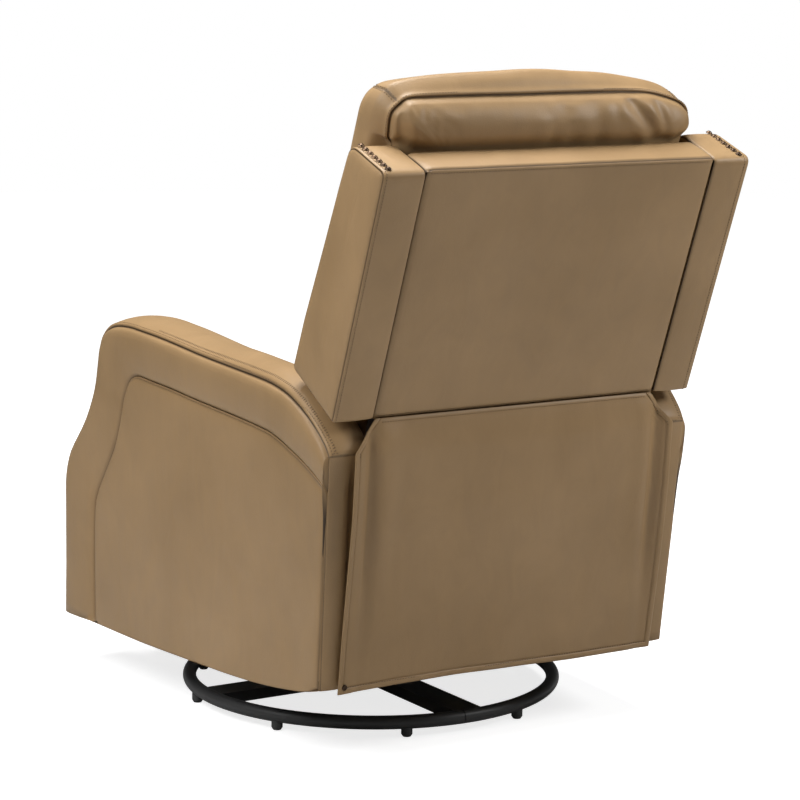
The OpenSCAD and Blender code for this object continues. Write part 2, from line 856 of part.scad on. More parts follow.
module seat_rail_rear() {
    color(pine) difference() {
        translate([-seat_rail_out, rear_rail_y, seat_rail_low - rear_rail_drop])
            cube([2 * seat_rail_out, seat_rail_t, seat_rail_h + rear_rail_drop]);
        for (s = [-1, 1]) side(s)
            pin_x(pin_r + fit, seat_rail_out - seat_rail_t, seat_rail_out + over, push_seat);
    }
}

module seat_side_rails() {
    start = front_rail_y + seat_rail_t;
    color(pine) for (s = [-1, 1]) side(s)
        difference() {
            translate([seat_rail_out - seat_rail_t, start, seat_rail_low])
                cube([seat_rail_t, rear_rail_y - start, seat_rail_h]);
            for (y = [-slide_front, slide_rear])
                pin_x(slide_r + fit, seat_rail_out - seat_rail_t - over, seat_rail_out + over, [y, slide_z]);
        }
}

// One zigzag spring, from the front rail to the rear rail
module zigzag(half, pitch, turns, w, t) {
    path = [
        for (k = [0 : 2 * turns])
            [(k % 2 == 0 ? -1 : 1) * half, k * pitch / 2]
    ];
    linear_extrude(t) for (k = [0 : 2 * turns - 1]) bar(path[k], path[k + 1], w);
}

module seat_springs() {
    start = front_rail_y + seat_rail_t / 2;
    run = rear_rail_y + seat_rail_t / 2 - start;
    wave = 20;
    spacing = 2 * (seat_rail_out - seat_rail_t) / seat_wire_count;
    color(zinc) for (i = [0 : seat_wire_count - 1])
        translate([(i - (seat_wire_count - 1) / 2) * spacing, start, seat_rail_low + seat_rail_h])
            zigzag(wave, run / seat_wire_turns, seat_wire_turns, wire_seat, wire_seat);
}

module slide_pins() {
    color(zinc) for (s = [-1, 1]) side(s) {
        for (y = [-slide_front, slide_rear])
            pin_x(slide_r, seat_rail_out - seat_rail_t, board_in + hair, [y, slide_z]);
        pin_x(pin_r, seat_rail_out - seat_rail_t + hair, layer3 + link_t + hair, push_seat);
    }
}

module seat_cushion() {
    seam_share = 0.42;
    channel_d = 10;
    length = seat_front + seat_rear;
    channel_at_shares = [-0.72];
    color(leather) translate([0, (seat_rear - seat_front) / 2, seat_z + seam_share * seat_t])
        cushion(cushion_w, length, (1 - seam_share) * seat_t, seam_share * seat_t, side_pinch,
            channel_at_shares, channel_d, 12, 14);
}

// Footrest linkage
module main_links() {
    color(steel_black) for (s = [-1, 1]) side(s) yz(layer1, link_t) difference() {
        union() {
            bar(joint_a0, joint_a1, link_w);
            bar(joint_a1, joint_a2, link_w);
        }
        for (j = [joint_a0, joint_a1, joint_a2]) hole(j, pin_r + fit);
        hole(tube_place, tube_r + hair);
    }
}

module drive_tube() {
    tube_wall = 1.5;
    color(steel_black) difference() {
        pin_x(tube_r, -layer1 - link_t, layer1 + link_t, tube_place);
        pin_x(tube_r - tube_wall, -layer1 - link_t - over, layer1 + link_t + over, tube_place);
    }
}

module main_link_rivets() {
    color(zinc) for (s = [-1, 1]) side(s) for (j = [joint_a1, joint_a2]) rivet(layer2, layer1 + link_t, j);
}

module follower_links() {
    color(steel_black) for (s = [-1, 1]) side(s) yz(layer1, link_t) difference() {
        bar(joint_b0, joint_b1, link_w);
        hole(joint_b0, pin_r + fit);
        hole(joint_b1, pin_r + fit);
    }
}

module carriers() {
    color(steel_black) for (s = [-1, 1]) side(s) yz(layer2, link_t) difference() {
        union() {
            bar(joint_b1, joint_a1, link_w);
            bar(joint_a1, joint_p, link_w);
        }
        for (j = [joint_b1, joint_a1, joint_p]) hole(j, pin_r + fit);
    }
}

module carrier_rivets() {
    color(zinc) for (s = [-1, 1]) side(s) {
        rivet(layer2, layer1 + link_t, joint_b1);
        rivet(layer3, layer2 + link_t, joint_p);
    }
}

module steer_links() {
    color(steel_black) for (s = [-1, 1]) side(s) yz(layer2, link_t) difference() {
        bar(joint_a2, joint_c1, link_w * 0.8);
        hole(joint_a2, pin_r + fit);
        hole(joint_c1, pin_r + fit);
    }
}

module footrest_brackets() {
    flange = 24;
    flange_low = joint_c1[1] - link_w / 2;
    flange_high = joint_p[1] + link_w / 2;
    face = -rest_face;
    color(steel_black) for (s = [-1, 1]) side(s) {
        yz(layer3, link_t) difference() {
            union() {
                bar(joint_p, joint_c1, link_w);
                polygon([
                    [face, flange_low], joint_c1 - [0, link_w / 2], joint_p + [0, link_w / 2], [face, flange_high]
                ]);
            }
            hole(joint_p, pin_r + fit);
            hole(joint_c1, pin_r + fit);
        }
        translate([layer3 - flange, face, flange_low]) cube([flange + link_t / 2, link_t, flange_high - flange_low]);
    }
}

module bracket_rivets() {
    color(zinc) for (s = [-1, 1]) side(s) rivet(layer3, layer2 + link_t, joint_c1);
}

module footrest_board() {
    edge = 8;
    color(pine) translate([-rest_w / 2 + edge, -rest_face - rest_board_t, rest_z + edge])
        cube([rest_w - 2 * edge, rest_board_t, rest_h - 2 * edge]);
}

module footrest_cushion() {
    seam_share = 0.3;
    channel_at_shares = [0];
    channel_d = 7;
    pinch = 5;
    back_d = rest_face + rest_board_t + soft_gap;
    color(leather) translate([0, -back_d - seam_share * rest_t, rest_z + rest_h / 2]) rotate([90, 0, 0])
        cushion(rest_w, rest_h, (1 - seam_share) * rest_t, seam_share * rest_t, pinch,
            channel_at_shares, channel_d, 12, 12);
}

// Back
module back_box(x0, x1, n0, n1, s0, s1) {
    translate([x0, -n1, s0]) cube([x1 - x0, n1 - n0, s1 - s0]);
}

module back_posts() {
    color(pine) at_back() for (s = [-1, 1]) side(s)
        back_box(post_out - post_w, post_out, post_n, post_n + post_t, post_low, back_len - top_cover_t - soft_gap);
}

module back_rails() {
    low_shares = [0.03, 0.45, 0.88];
    rail_h_share = 0.1;
    color(pine) at_back() for (q = low_shares)
        back_box(-panel_half, panel_half, rail_n, post_n, q * back_len, (q + rail_h_share) * back_len - over);
}

// Steel bracket on a post, with the hinge ear in front of it and the pushing arm below
module back_brackets() {
    hinge = [hinge_y, hinge_z];
    function lean(n, s) = [
        back_y + s * sin(back_lean) - n * cos(back_lean),
        back_z + s * cos(back_lean) + n * sin(back_lean)
    ];
    post_mid = post_n + post_t / 2;
    color(steel_black) for (s = [-1, 1]) side(s) yz(layer2, link_t) difference() {
        union() {
            bar(lean(post_mid, post_low + post_t / 2), lean(post_mid, 0), post_t);
            bar(hinge, lean(post_mid, post_low + post_t / 2), post_t);
            bar(hinge, push_tip, link_w);
        }
        hole(hinge, hinge_r + fit);
        hole(push_tip, pin_r + fit);
    }
}

module back_straps() {
    place_shares = [0.16, 0.36, 0.62, 0.8];
    color([0.2, 0.2, 0.2]) at_back() for (q = place_shares)
        back_box(-post_out, post_out, post_n + post_t, post_n + post_t + band_t,
            q * back_len, q * back_len + band_w);
}

module back_panel() {
    edge = 8;
    color(leather) at_back() translate([-panel_half, 0, 0]) rotate([90, 0, 90]) linear_extrude(2 * panel_half) {
        difference() {
            translate([-panel_t, 0]) square([panel_t, back_len]);
            translate([-edge, back_len - edge]) square(edge + over);
        }
        translate([-panel_top_depth, back_len - top_cover_t]) square([panel_top_depth - edge, top_cover_t]);
        translate([-edge, back_len - edge]) circle(r = edge);
    }
}

// Outline of a wing: distance forward of the outer back panel, and height along the lean
wing_outline = [
    [0, 0], [wing_depth_low, 0.05 * back_len], [wing_depth_low * 0.975, 0.26 * back_len],
    [wing_depth_low * 0.89, 0.56 * back_len], [(wing_depth_top + wing_depth_low * 0.89) / 2, 0.8 * back_len],
    [wing_depth_top, back_len], [wing_depth_top / 2, back_len], [0, back_len]
];
wing_mid = [wing_depth_low / 2, back_len / 2];
wing_round = 6;
wing_edge_shares = [[0, 1], [0.06, 0.3], [0.2, 0], [0.8, 0], [0.94, 0.3], [1, 1]];

wing_room = 1;
module wing(s, extra = 0) {
    function ring(t, edge) = [
        for (i = [0 : len(wing_outline) - 1])
            let (
                q = wing_outline[i],
                n = -normal_at(wing_outline, i),
                d = wing_round * edge - extra
            )
            [back_half - extra + t * (wing_w + 2 * extra), -(q[0] - n[0] * d), q[1] - n[1] * d]
    ];
    at_back() side(s) skin([for (e = wing_edge_shares) ring(e[0], extra > 0 ? 0 : e[1])]);
}

module wing_left() {
    color(leather) wing(1);
}

module wing_right() {
    color(leather) wing(-1);
}

module wing_nails() {
    row_in = 12;
    first = 12;
    row_len = wing_depth_top - 2 * first;
    flat_share = 0.35;
    color(dark_nail) at_back() for (s = [-1, 1], i = [0 : nail_count - 1])
        translate([s * (wing_half - row_in), -first - i * row_len / (nail_count - 1), back_len + hair])
            difference() {
                translate([0, 0, -flat_share * nail_r]) sphere(r = nail_r, $fn = 24);
                translate([0, 0, -nail_r * 2]) cylinder(r = 2 * nail_r, h = 2 * nail_r);
            }
}

module back_cushion() {
    seam_share = 0.35;
    depth = cushion_front - cushion_back;
    channel_d = 22;
    length = cushion_split - back_low - 2 * soft_gap;
    channel_at_shares = [-0.1];
    color(leather) at_back()
        translate([0, -cushion_back - seam_share * depth, (cushion_split + back_low) / 2]) rotate([90, 0, 0])
            cushion(cushion_w, length, (1 - seam_share) * depth, seam_share * depth, side_pinch,
                channel_at_shares, channel_d, 12, 14);
}

module head_cushion() {
    seam_share = 0.24;
    pinch = 5;
    depth = cushion_front - cushion_back;
    length = head_top - cushion_split;
    color(leather) difference() {
        at_back() translate([0, -cushion_back - seam_share * depth, cushion_split + length / 2])
            rotate([90, 0, 0])
                cushion(head_w, length, (1 - seam_share) * depth, seam_share * depth, pinch, [], 0, 14, 12, dome_form);
        for (s = [-1, 1]) wing(s, wing_room);
    }
}

// Link from the back's pushing arm to the seat; its front hole is long, for the arm's dip
module push_links() {
    color(steel_black) for (s = [-1, 1]) side(s) yz(layer3, link_t) difference() {
        bar(push_tip, push_seat, push_w);
        hole(push_tip, pin_r + fit);
        bar(push_seat, push_seat + [0, push_dip], 2 * (pin_r + slide_room));
    }
}

module push_rivets() {
    color(zinc) for (s = [-1, 1]) side(s) rivet(layer3, layer2 + link_t, push_tip);
}

// Release lever on the sitter's right
module lever_shaft() {
    color(zinc) pin_x(lever_r, -lever_out - lever_gap - lever_t, -plate_in, [lever_y, lever_z]);
}

module lever_handle() {
    boss = 2.6 * lever_r;
    tip = [lever_y, lever_z] + polar(lever_len, 150);
    color(steel_black) translate([-lever_out - lever_gap - lever_t, 0, 0]) rotate([90, 0, 90]) linear_extrude(lever_t)
        difference() {
            union() {
                hole([lever_y, lever_z], boss);
                bar([lever_y, lever_z], tip, 1.6 * boss);
            }
            hole([lever_y, lever_z], lever_r + hair);
        }
}

base_ring();
base_bar_long();
base_bar_halves();
foot_pads();
bearing_lower();
king_bolt();
bearing_upper();
bearing_balls();
rocker_plate();
rocker_ears();
rocker_columns();
bump_stops();
rock_springs();
rock_pins();
cradle_hangers();
cradle_rail_front();
cradle_rail_rear();
side_board_left();
side_board_right();
side_plate_left();
side_plate_right();
frame_rivets();
rear_rail();
arm_left();
arm_right();
side_panel_left();
side_panel_right();
rear_skirt();
seat_rail_front();
seat_rail_rear();
seat_side_rails();
seat_springs();
slide_pins();
seat_cushion();
main_links();
drive_tube();
main_link_rivets();
follower_links();
carriers();
carrier_rivets();
steer_links();
footrest_brackets();
bracket_rivets();
footrest_board();
footrest_cushion();
back_posts();
back_rails();
back_brackets();
back_straps();
back_panel();
wing_left();
wing_right();
wing_nails();
back_cushion();
head_cushion();
push_links();
push_rivets();
lever_shaft();
lever_handle();
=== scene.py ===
import json
import math

import bmesh
import bpy
from bpy.props import FloatProperty, FloatVectorProperty, IntProperty, PointerProperty
from mathutils import Matrix, Vector, noise
from mathutils.bvhtree import BVHTree


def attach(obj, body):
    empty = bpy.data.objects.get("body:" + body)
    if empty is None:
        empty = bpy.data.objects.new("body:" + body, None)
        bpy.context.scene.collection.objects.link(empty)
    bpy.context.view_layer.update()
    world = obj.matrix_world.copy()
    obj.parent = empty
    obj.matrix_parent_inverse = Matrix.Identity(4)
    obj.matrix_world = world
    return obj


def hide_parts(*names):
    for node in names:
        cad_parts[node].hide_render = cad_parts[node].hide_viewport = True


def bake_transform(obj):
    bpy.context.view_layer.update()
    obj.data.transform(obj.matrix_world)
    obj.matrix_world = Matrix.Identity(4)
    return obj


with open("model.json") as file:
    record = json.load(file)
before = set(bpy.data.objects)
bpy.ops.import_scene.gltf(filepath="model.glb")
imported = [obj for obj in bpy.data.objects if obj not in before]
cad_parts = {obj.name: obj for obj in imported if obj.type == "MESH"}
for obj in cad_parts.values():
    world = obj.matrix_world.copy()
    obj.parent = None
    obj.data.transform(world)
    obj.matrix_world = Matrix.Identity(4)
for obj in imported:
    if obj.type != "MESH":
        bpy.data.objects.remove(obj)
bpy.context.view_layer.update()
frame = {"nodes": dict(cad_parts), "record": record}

bl_info = {
    "name": "Wing Back Recliner Dressing",
    "version": (1, 0, 0),
    "blender": (4, 5, 0),
    "location": "View3D > Sidebar > Recliner",
    "description": "Sewn leather, steel and wood for a swivel rocker recliner",
    "category": "Object",
}

MM = 0.001


# Sizes of the body, as the frame has them

ARM_FRONT, ARM_REAR = -405.0, 409.0
ARM_LEN = ARM_REAR - ARM_FRONT
BODY_Z = 86.0
ARM_IN = 245.0
OUT_FRONT, OUT_REAR = 365.0, 320.0
SLOPE = (OUT_FRONT - OUT_REAR) / ARM_LEN
POCKET = 6.0

LEAN = math.radians(20.6)
BACK_Y, BACK_Z = 416.0, 535.0
BACK_LEN = 400.0
WING_IN, WING_HALF = 254.5, 322.0
WING_RIGHT_MORE = 3.5
WING_SEAM = 316.2
PANEL_LEFT, PANEL_RIGHT = 250.8, 258.0
PANEL_HALF = 254.0
CUSHION_BACK = 63.3
CUSHION_FRONT = 215.0
SPLIT = 250.0

# Each side's name and the sign of its x
SIDES = (("left", 1), ("right", -1))

# Edge seam of an arm, from its front foot over the top to the corner behind, along and up:
# places read off the photograph and brought to millimetres through the fitted camera
ARM_EDGE = [
    (-408, 86), (-408, 176), (-407, 280), (-404, 331), (-389, 366), (-351, 409), (-329, 438), (-308, 475),
    (-297, 502), (-289, 536), (-283, 562), (-273, 578), (-257, 591), (-237, 599), (-212, 603), (-180, 604),
    (-150, 602.5), (-91, 599), (-28, 593.5), (33, 587.5), (93, 583), (151, 579.5), (209, 576), (240, 573.5),
    (266, 569.5), (294, 562.5), (321, 551.5), (348, 537), (374, 519), (390, 505), (400, 494), (406, 484),
]
# Edge of the let-in side panel, over the same way
PANEL_EDGE = [
    (-308, 86), (-308, 193), (-306, 279), (-298, 306), (-286, 327), (-268, 352), (-251, 376), (-233, 405),
    (-216, 449), (-206, 481), (-196, 502), (-186, 515), (-173, 522.5), (-160, 525.5), (-146, 525.5),
    (-117, 523), (-53, 519), (9, 513.5), (69, 509), (129, 505), (187, 500.5), (216, 498), (244, 494.5),
    (272, 487), (300, 477.5), (327, 468), (354, 456), (380, 443), (401, 431),
]
# Foot of the rear seam, and the lower edge from there forward
REAR_FOOT = (378, 123)
FOOT_LINE = [(332, 112), (248, 101), (158, 95), (2, 90), (-155, 86), (-280, 86), (-408, 86)]
# The line of an arm's side towards which its rings are drawn in
ARM_CORE = (Vector((-112, 298)), Vector((181, 287)))
# How far the rear face stands back to make room for the skirt: low down, and beside its edge
ROOM_LOW, ROOM_BESIDE = 13, 9
# Outline of a wing, forward of the outer panel and up along the lean
WING_SHAPE = [
    (0, 0), (134, 20), (130.5, 104), (119, 224), (110.5, 320), (102, BACK_LEN), (0, BACK_LEN),
]
NAIL_X, NAIL_COUNT = 310, 7
NAIL_FIRST, NAIL_LAST = 12, 90

# A cushion's fullness falls to its edge by this power, rounded by this one
CROWN_POWER, CROWN_ROUND = 6, 0.33

# Directions round a stitch, whose lower side lies in the leather
STITCH_ROUND = (0, math.pi / 3, 2 * math.pi / 3, math.pi, 4.4, 5.2)

# The camera as fitted to the photograph: place in metres; heading, pitch and roll in degrees
CAMERA_AT = (2.33049, 3.83575, 1.23395)
CAMERA_TURN = (31.8443, 9.496, 0.5252)
# Lamps: name, place, size and share of the key or fill setting
LAMPS = (
    ("Key", (2.3, 0.5, 2.3), 1.4, "key", 1.0),
    ("Top", (0.1, 0.0, 3.1), 1.8, "key", 2.3),
    ("Fill", (-1.45, 1.55, 1.68), 0.8, "fill", 1.0),
)
LIT_AT = Vector((0, 0.1, 0.55))


# Settings a user may change

class LeatherFinish(bpy.types.PropertyGroup):
    light: FloatVectorProperty(
        name="Light tone", description="Leather where the finish is rubbed pale", subtype="COLOR",
        size=3, min=0, max=1, default=(0.350, 0.225, 0.111))
    deep: FloatVectorProperty(
        name="Deep tone", description="Leather in the darker patches", subtype="COLOR",
        size=3, min=0, max=1, default=(0.276, 0.174, 0.081))
    # Seam tone is painted shade: the near-black leather colour laid where seams, grooves and recesses fall into
    # shade
    seam: FloatVectorProperty(
        name="Seam tone", description="Leather edge down in a seam", subtype="COLOR",
        size=3, min=0, max=1, default=(0.045, 0.028, 0.015))
    thread: FloatVectorProperty(
        name="Thread", description="Colour of the sewing thread", subtype="COLOR",
        size=3, min=0, max=1, default=(0.165, 0.102, 0.047))
    roughness: FloatProperty(
        name="Roughness", description="Roughness of the leather's top coat", subtype="FACTOR",
        min=0.2, max=0.9, default=0.46)
    grain: FloatProperty(
        name="Grain", description="Depth of the leather's grain", subtype="FACTOR",
        min=0, max=1, default=0.28)


class SewingSizes(bpy.types.PropertyGroup):
    stitch: FloatProperty(
        name="Stitch", description="Length of one stitch", unit="LENGTH", default=0.0031, min=0.001)
    pitch: FloatProperty(
        name="Pitch", description="Distance from one stitch to the next", unit="LENGTH",
        default=0.0046, min=0.002)
    thread: FloatProperty(
        name="Thread radius", description="Radius of the sewing thread", unit="LENGTH",
        default=0.00055, min=0.0002)
    welt: FloatProperty(
        name="Welt radius", description="Radius of the piping cord", unit="LENGTH",
        default=0.0022, min=0.001)


class PaddingSizes(bpy.types.PropertyGroup):
    frames: IntProperty(
        name="Frames", description="Steps of the cushion simulation", default=14, min=1, max=40)
    pressure: FloatProperty(
        name="Pressure", description="Pressure of the filling", default=4.0, min=0, max=12)
    swell: FloatProperty(
        name="Largest swell", description="How far a point of a cushion may move", unit="LENGTH",
        default=0.024, min=0)


class StageSettings(bpy.types.PropertyGroup):
    key: FloatProperty(
        name="Key light", description="Power of the large soft lamp", unit="POWER", default=49, min=0)
    fill: FloatProperty(
        name="Fill light", description="Power of the soft lamp beside the camera", unit="POWER",
        default=23, min=0)
    sky: FloatProperty(
        name="Sky", description="Strength of the even light all round", default=0.1, min=0)
    focal: FloatProperty(
        name="Focal length", description="Lens of the camera on a 36 mm sensor", subtype="DISTANCE_CAMERA",
        default=124.814, min=20)


SETTINGS = {
    "recliner_leather": LeatherFinish,
    "recliner_sewing": SewingSizes,
    "recliner_padding": PaddingSizes,
    "recliner_stage": StageSettings,
}


# Curves and places

def smooth_curve(points, steps):
    """A curve through all points, with the same number of steps between neighbours."""
    p = [Vector(q) for q in points]
    out = []
    for i in range(len(p) - 1):
        a, b, c, d = p[max(i - 1, 0)], p[i], p[i + 1], p[min(i + 2, len(p) - 1)]
        for k in range(steps):
            t = k / steps
            out.append(0.5 * (2 * b + (c - a) * t + (2 * a - 5 * b + 4 * c - d) * t * t
                              + (3 * b - a - 3 * c + d) * t ** 3))
    return out + [p[-1]]


def even_points(points, count):
    """The same line, cut into equally long steps."""
    p = [Vector(q) for q in points]
    lengths = [0.0]
    for a, b in zip(p, p[1:]):
        lengths.append(lengths[-1] + (b - a).length)
    out, k = [], 0
    for i in range(count):
        want = lengths[-1] * i / (count - 1)
        while k < len(p) - 2 and lengths[k + 1] < want:
            k += 1
        step = lengths[k + 1] - lengths[k]
        out.append(p[k].lerp(p[k + 1], (want - lengths[k]) / step if step else 0))
    return out


def rounded(corners, radii, step=9.0, arc=5):
    """A closed outline with rounded corners, cut into short straight steps."""
    out = []
    n = len(corners)
    for i in range(n):
        a, b, c = (Vector(corners[(i + k) % n]) for k in (-1, 0, 1))
        r = radii[i]
        if r > 0:
            u, v = (a - b).normalized(), (c - b).normalized()
            start, end = b + u * r, b + v * r
            for k in range(arc + 1):
                t = k / arc
                out.append((1 - t) ** 2 * start + 2 * t * (1 - t) * b + t * t * end)
        else:
            out.append(b)
    dense = []
    for i, a in enumerate(out):
        b = out[(i + 1) % len(out)]
        cuts = max(1, round((b - a).length / step))
        dense += [a.lerp(b, k / cuts) for k in range(cuts)]
    return dense


def outward(points, i, closed=True):
    """Outward direction of an outline in a plane at point i, for a clockwise outline."""
    n = len(points)
    a = points[(i - 1) % n] if closed or i else points[0]
    b = points[(i + 1) % n] if closed or i < n - 1 else points[-1]
    d = b - a
    return Vector((-d.y, d.x)).normalized() if d.length else Vector((0, 1))


def arm_out(y):
    """How far out an arm's outer face stands at a place along it."""
    return OUT_REAR + SLOPE * (ARM_REAR - y)


def leaned(x, n, s):
    """A place on the back: across, forward of the outer panel, and up along the lean."""
    return Vector((
        x, BACK_Y + s * math.sin(LEAN) - n * math.cos(LEAN),
        BACK_Z + s * math.cos(LEAN) + n * math.sin(LEAN))) * MM


def ramp(t):
    """A soft step from 0 to 1."""
    t = min(1.0, max(0.0, t))
    return t * t * (3 - 2 * t)


def nearest_on(a, b, p):
    """The place of a straight line that is nearest to p."""
    d = b - a
    t = max(0.0, min(1.0, (p - a).dot(d) / d.length_squared))
    return a + d * t


def turns(count):
    """Angles in even steps round a circle."""
    return [2 * math.pi * k / count for k in range(count)]


# Mesh making

class Shell:
    """Rings of points that are joined into a skin; each point carries how far its leather is darkened with
    painted shade, where it lies down in a seam or recess or on a face in shade.
    """

    def __init__(self):
        self.points, self.faces, self.seams = [], [], []
        self.pins = set()

    def ring(self, points, seam=0.0, pin=False):
        """Adds a row of points and returns their numbers."""
        first = len(self.points)
        self.points += [Vector(p) for p in points]
        # seam: share of painted shade, towards the seam tone, for these points
        self.seams += [seam] * len(points)
        ids = list(range(first, len(self.points)))
        if pin:
            self.pins.update(ids)
        return ids

    def join(self, a, b, closed=True):
        """Skins the band between two rows."""
        n = len(a)
        for i in range(n if closed else n - 1):
            j = (i + 1) % n
            self.faces.append((a[i], a[j], b[j], b[i]))

    def stack(self, rings, closed=True):
        """Skins the bands between all rows in turn."""
        for a, b in zip(rings, rings[1:]):
            self.join(a, b, closed)

    def fan(self, ring, centre):
        """Closes a row with triangles to one point."""
        self.points.append(Vector(centre))
        self.seams.append(0.0)
        c = len(self.points) - 1
        for i, a in enumerate(ring):
            self.faces.append((a, ring[(i + 1) % len(ring)], c))


def make_piece(name, shell, material, merge=0.00002, sign=1):
    """Makes an object of a shell, with one material; a sign of -1 mirrors it to the right side."""
    mesh = bpy.data.meshes.new(name)
    points = [(sign * p.x, p.y, p.z) for p in shell.points]
    mesh.from_pydata(points, [], shell.faces)
    # The seam attribute is the painted shade mask that the leather material reads; pin marks the held points
    for attribute, values in (("seam", shell.seams),
                              ("pin", [1.0 if i in shell.pins else 0.0 for i in range(len(points))])):
        a = mesh.attributes.new(attribute, "FLOAT", "POINT")
        a.data.foreach_set("value", values)
    work = bmesh.new()
    work.from_mesh(mesh)
    bmesh.ops.remove_doubles(work, verts=work.verts, dist=merge)
    bmesh.ops.dissolve_degenerate(work, edges=work.edges, dist=merge / 4)
    bmesh.ops.recalc_face_normals(work, faces=work.faces)
    work.to_mesh(mesh)
    work.free()
    for face in mesh.polygons:
        face.use_smooth = True
    mesh.materials.append(material)
    piece = bpy.data.objects.new(name, mesh)
    bpy.context.scene.collection.objects.link(piece)
    return piece


def refine(piece, levels=1):
    """Adds a subdivision surface to a piece and keeps its result."""
    mod = piece.modifiers.new("Finer", "SUBSURF")
    mod.levels = mod.render_levels = levels
    mod.boundary_smooth = "PRESERVE_CORNERS"
    keep_modifiers(piece)


def keep_modifiers(piece):
    """Makes the shape that the modifiers give the piece's own."""
    bpy.context.view_layer.update()
    shown = piece.evaluated_get(bpy.context.evaluated_depsgraph_get())
    mesh = bpy.data.meshes.new_from_object(shown)
    old = piece.data
    piece.modifiers.clear()
    piece.data = mesh
    bpy.data.meshes.remove(old)
    for face in mesh.polygons:
        face.use_smooth = True


def finished(piece, body, *nodes, fill=None, slot="leather"):
    if body:
        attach(piece, body)
    if nodes:
        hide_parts(*nodes)
    return piece


def tube(name, line, radius, material, closed=False, sides=8):
    """A round cord along a line of points."""
    shell = Shell()
    rings = []
    n = len(line)
    up = Vector((0.31, 0.17, 0.93))
    for i, p in enumerate(line):
        a = line[(i - 1) % n] if closed or i else line[0]
        b = line[(i + 1) % n] if closed or i < n - 1 else line[-1]
        along = (b - a).normalized()
        side = along.cross(up)
        if side.length < 0.2:
            side = along.cross(Vector((1, 0, 0)))
        side.normalize()
        top = side.cross(along)
        rings.append(shell.ring([
            p + radius * (math.cos(w) * side + math.sin(w) * top)
            for w in turns(sides)]))
    shell.stack(rings)
    if closed:
        shell.join(rings[-1], rings[0])
    else:
        shell.fan(rings[0], line[0])
        shell.fan(rings[-1], line[-1])
    return make_piece(name, shell, material, merge=0.00001)


def sew(name, lines, cloths):
    """Single stitches along guide lines, each laid on the cloth it is nearest to."""
    sizes = bpy.context.scene.recliner_sewing
    trees = []
    for cloth in cloths:
        trees.append(BVHTree.FromPolygons(
            [v.co for v in cloth.data.vertices], [p.vertices for p in cloth.data.polygons]))
    shell = Shell()
    r = sizes.thread
    for line in lines:
        length = sum((b - a).length for a, b in zip(line, line[1:]))
        count = max(2, int(length / sizes.pitch))
        single = len(line) == 2
        if not single:
            line = even_points(line, count)
        count = len(line)
        for i in range(count - 1):
            a, b = line[i], line[i + 1]
            share = 0.5 if single else sizes.stitch / sizes.pitch / 2
            mid = (a + b) / 2
            found = [t.find_nearest(mid) for t in trees]
            place, normal = min((f for f in found if f[0]), key=lambda f: f[3])[:2]
            along = (b - a)
            along = (along - normal * along.dot(normal)) * share
            side = along.cross(normal).normalized() * r
            lift = normal * r
            place = place + normal * (r * 0.35)
            ends = [place - along - lift * 0.9, place + along - lift * 0.9]
            rings = []
            for share_at, big in ((-0.72, 0.85), (0, 1.15), (0.72, 0.85)):
                rings.append(shell.ring([
                    place + along * share_at + big * (side * math.cos(w) + lift * math.sin(w))
                    for w in STITCH_ROUND]))
            shell.stack(rings)
            shell.fan(rings[0], ends[0])
            shell.fan(rings[-1], ends[1])
    return make_piece(name, shell, thread_material(), merge=0.0000001)


# Materials

def blank_material(name):
    """A new material's nodes, links and shader, or the one made before."""
    old = bpy.data.materials.get(name)
    if old:
        return old, None, None, None
    material = bpy.data.materials.new(name)
    material.use_nodes = True
    nodes, links = material.node_tree.nodes, material.node_tree.links
    return material, nodes, links, nodes["Principled BSDF"]


def add(nodes, kind, **values):
    """Adds a shader node and sets its inputs and properties."""
    node = nodes.new(kind)
    for key, value in values.items():
        if key in node.inputs:
            node.inputs[key].default_value = value
        else:
            setattr(node, key, value)
    return node


def mapped(nodes, links, scale):
    """Places in the object's own frame, scaled."""
    place = nodes.new("ShaderNodeTexCoord")
    mapping = nodes.new("ShaderNodeMapping")
    mapping.inputs["Scale"].default_value = scale
    links.new(place.outputs["Object"], mapping.inputs["Vector"])
    return mapping.outputs["Vector"]


def coloured(nodes, links, factor, stops):
    """A factor turned into colours."""
    ramp_node = nodes.new("ShaderNodeValToRGB")
    band = ramp_node.color_ramp
    for i, (at, colour) in enumerate(stops):
        stop = band.elements[i] if i < 2 else band.elements.new(at)
        stop.position = at
        stop.color = (*colour, 1)
    links.new(factor, ramp_node.inputs["Fac"])
    return ramp_node.outputs["Color"]


def mixed(nodes, links, factor, a, b, blend="MIX"):
    mix = nodes.new("ShaderNodeMix")
    mix.data_type = "RGBA"
    mix.blend_type = blend
    for socket, value in ((0, factor), (6, a), (7, b)):
        if hasattr(value, "is_linked"):
            links.new(value, mix.inputs[socket])
        elif isinstance(value, tuple):
            mix.inputs[socket].default_value = (*value, 1)
        else:
            mix.inputs[socket].default_value = value
    return mix.outputs[2]


def ranged(nodes, links, value, low, high):
    """A value from 0 to 1, set between two others."""
    node = nodes.new("ShaderNodeMapRange")
    links.new(value, node.inputs["Value"])
    node.inputs["To Min"].default_value = low
    node.inputs["To Max"].default_value = high
    return node.outputs["Result"]


def bumped(nodes, links, height, distance, strength, under=None):
    bump = nodes.new("ShaderNodeBump")
    bump.inputs["Distance"].default_value = distance
    bump.inputs["Strength"].default_value = strength
    links.new(height, bump.inputs["Height"])
    if under:
        links.new(under, bump.inputs["Normal"])
    return bump.outputs["Normal"]


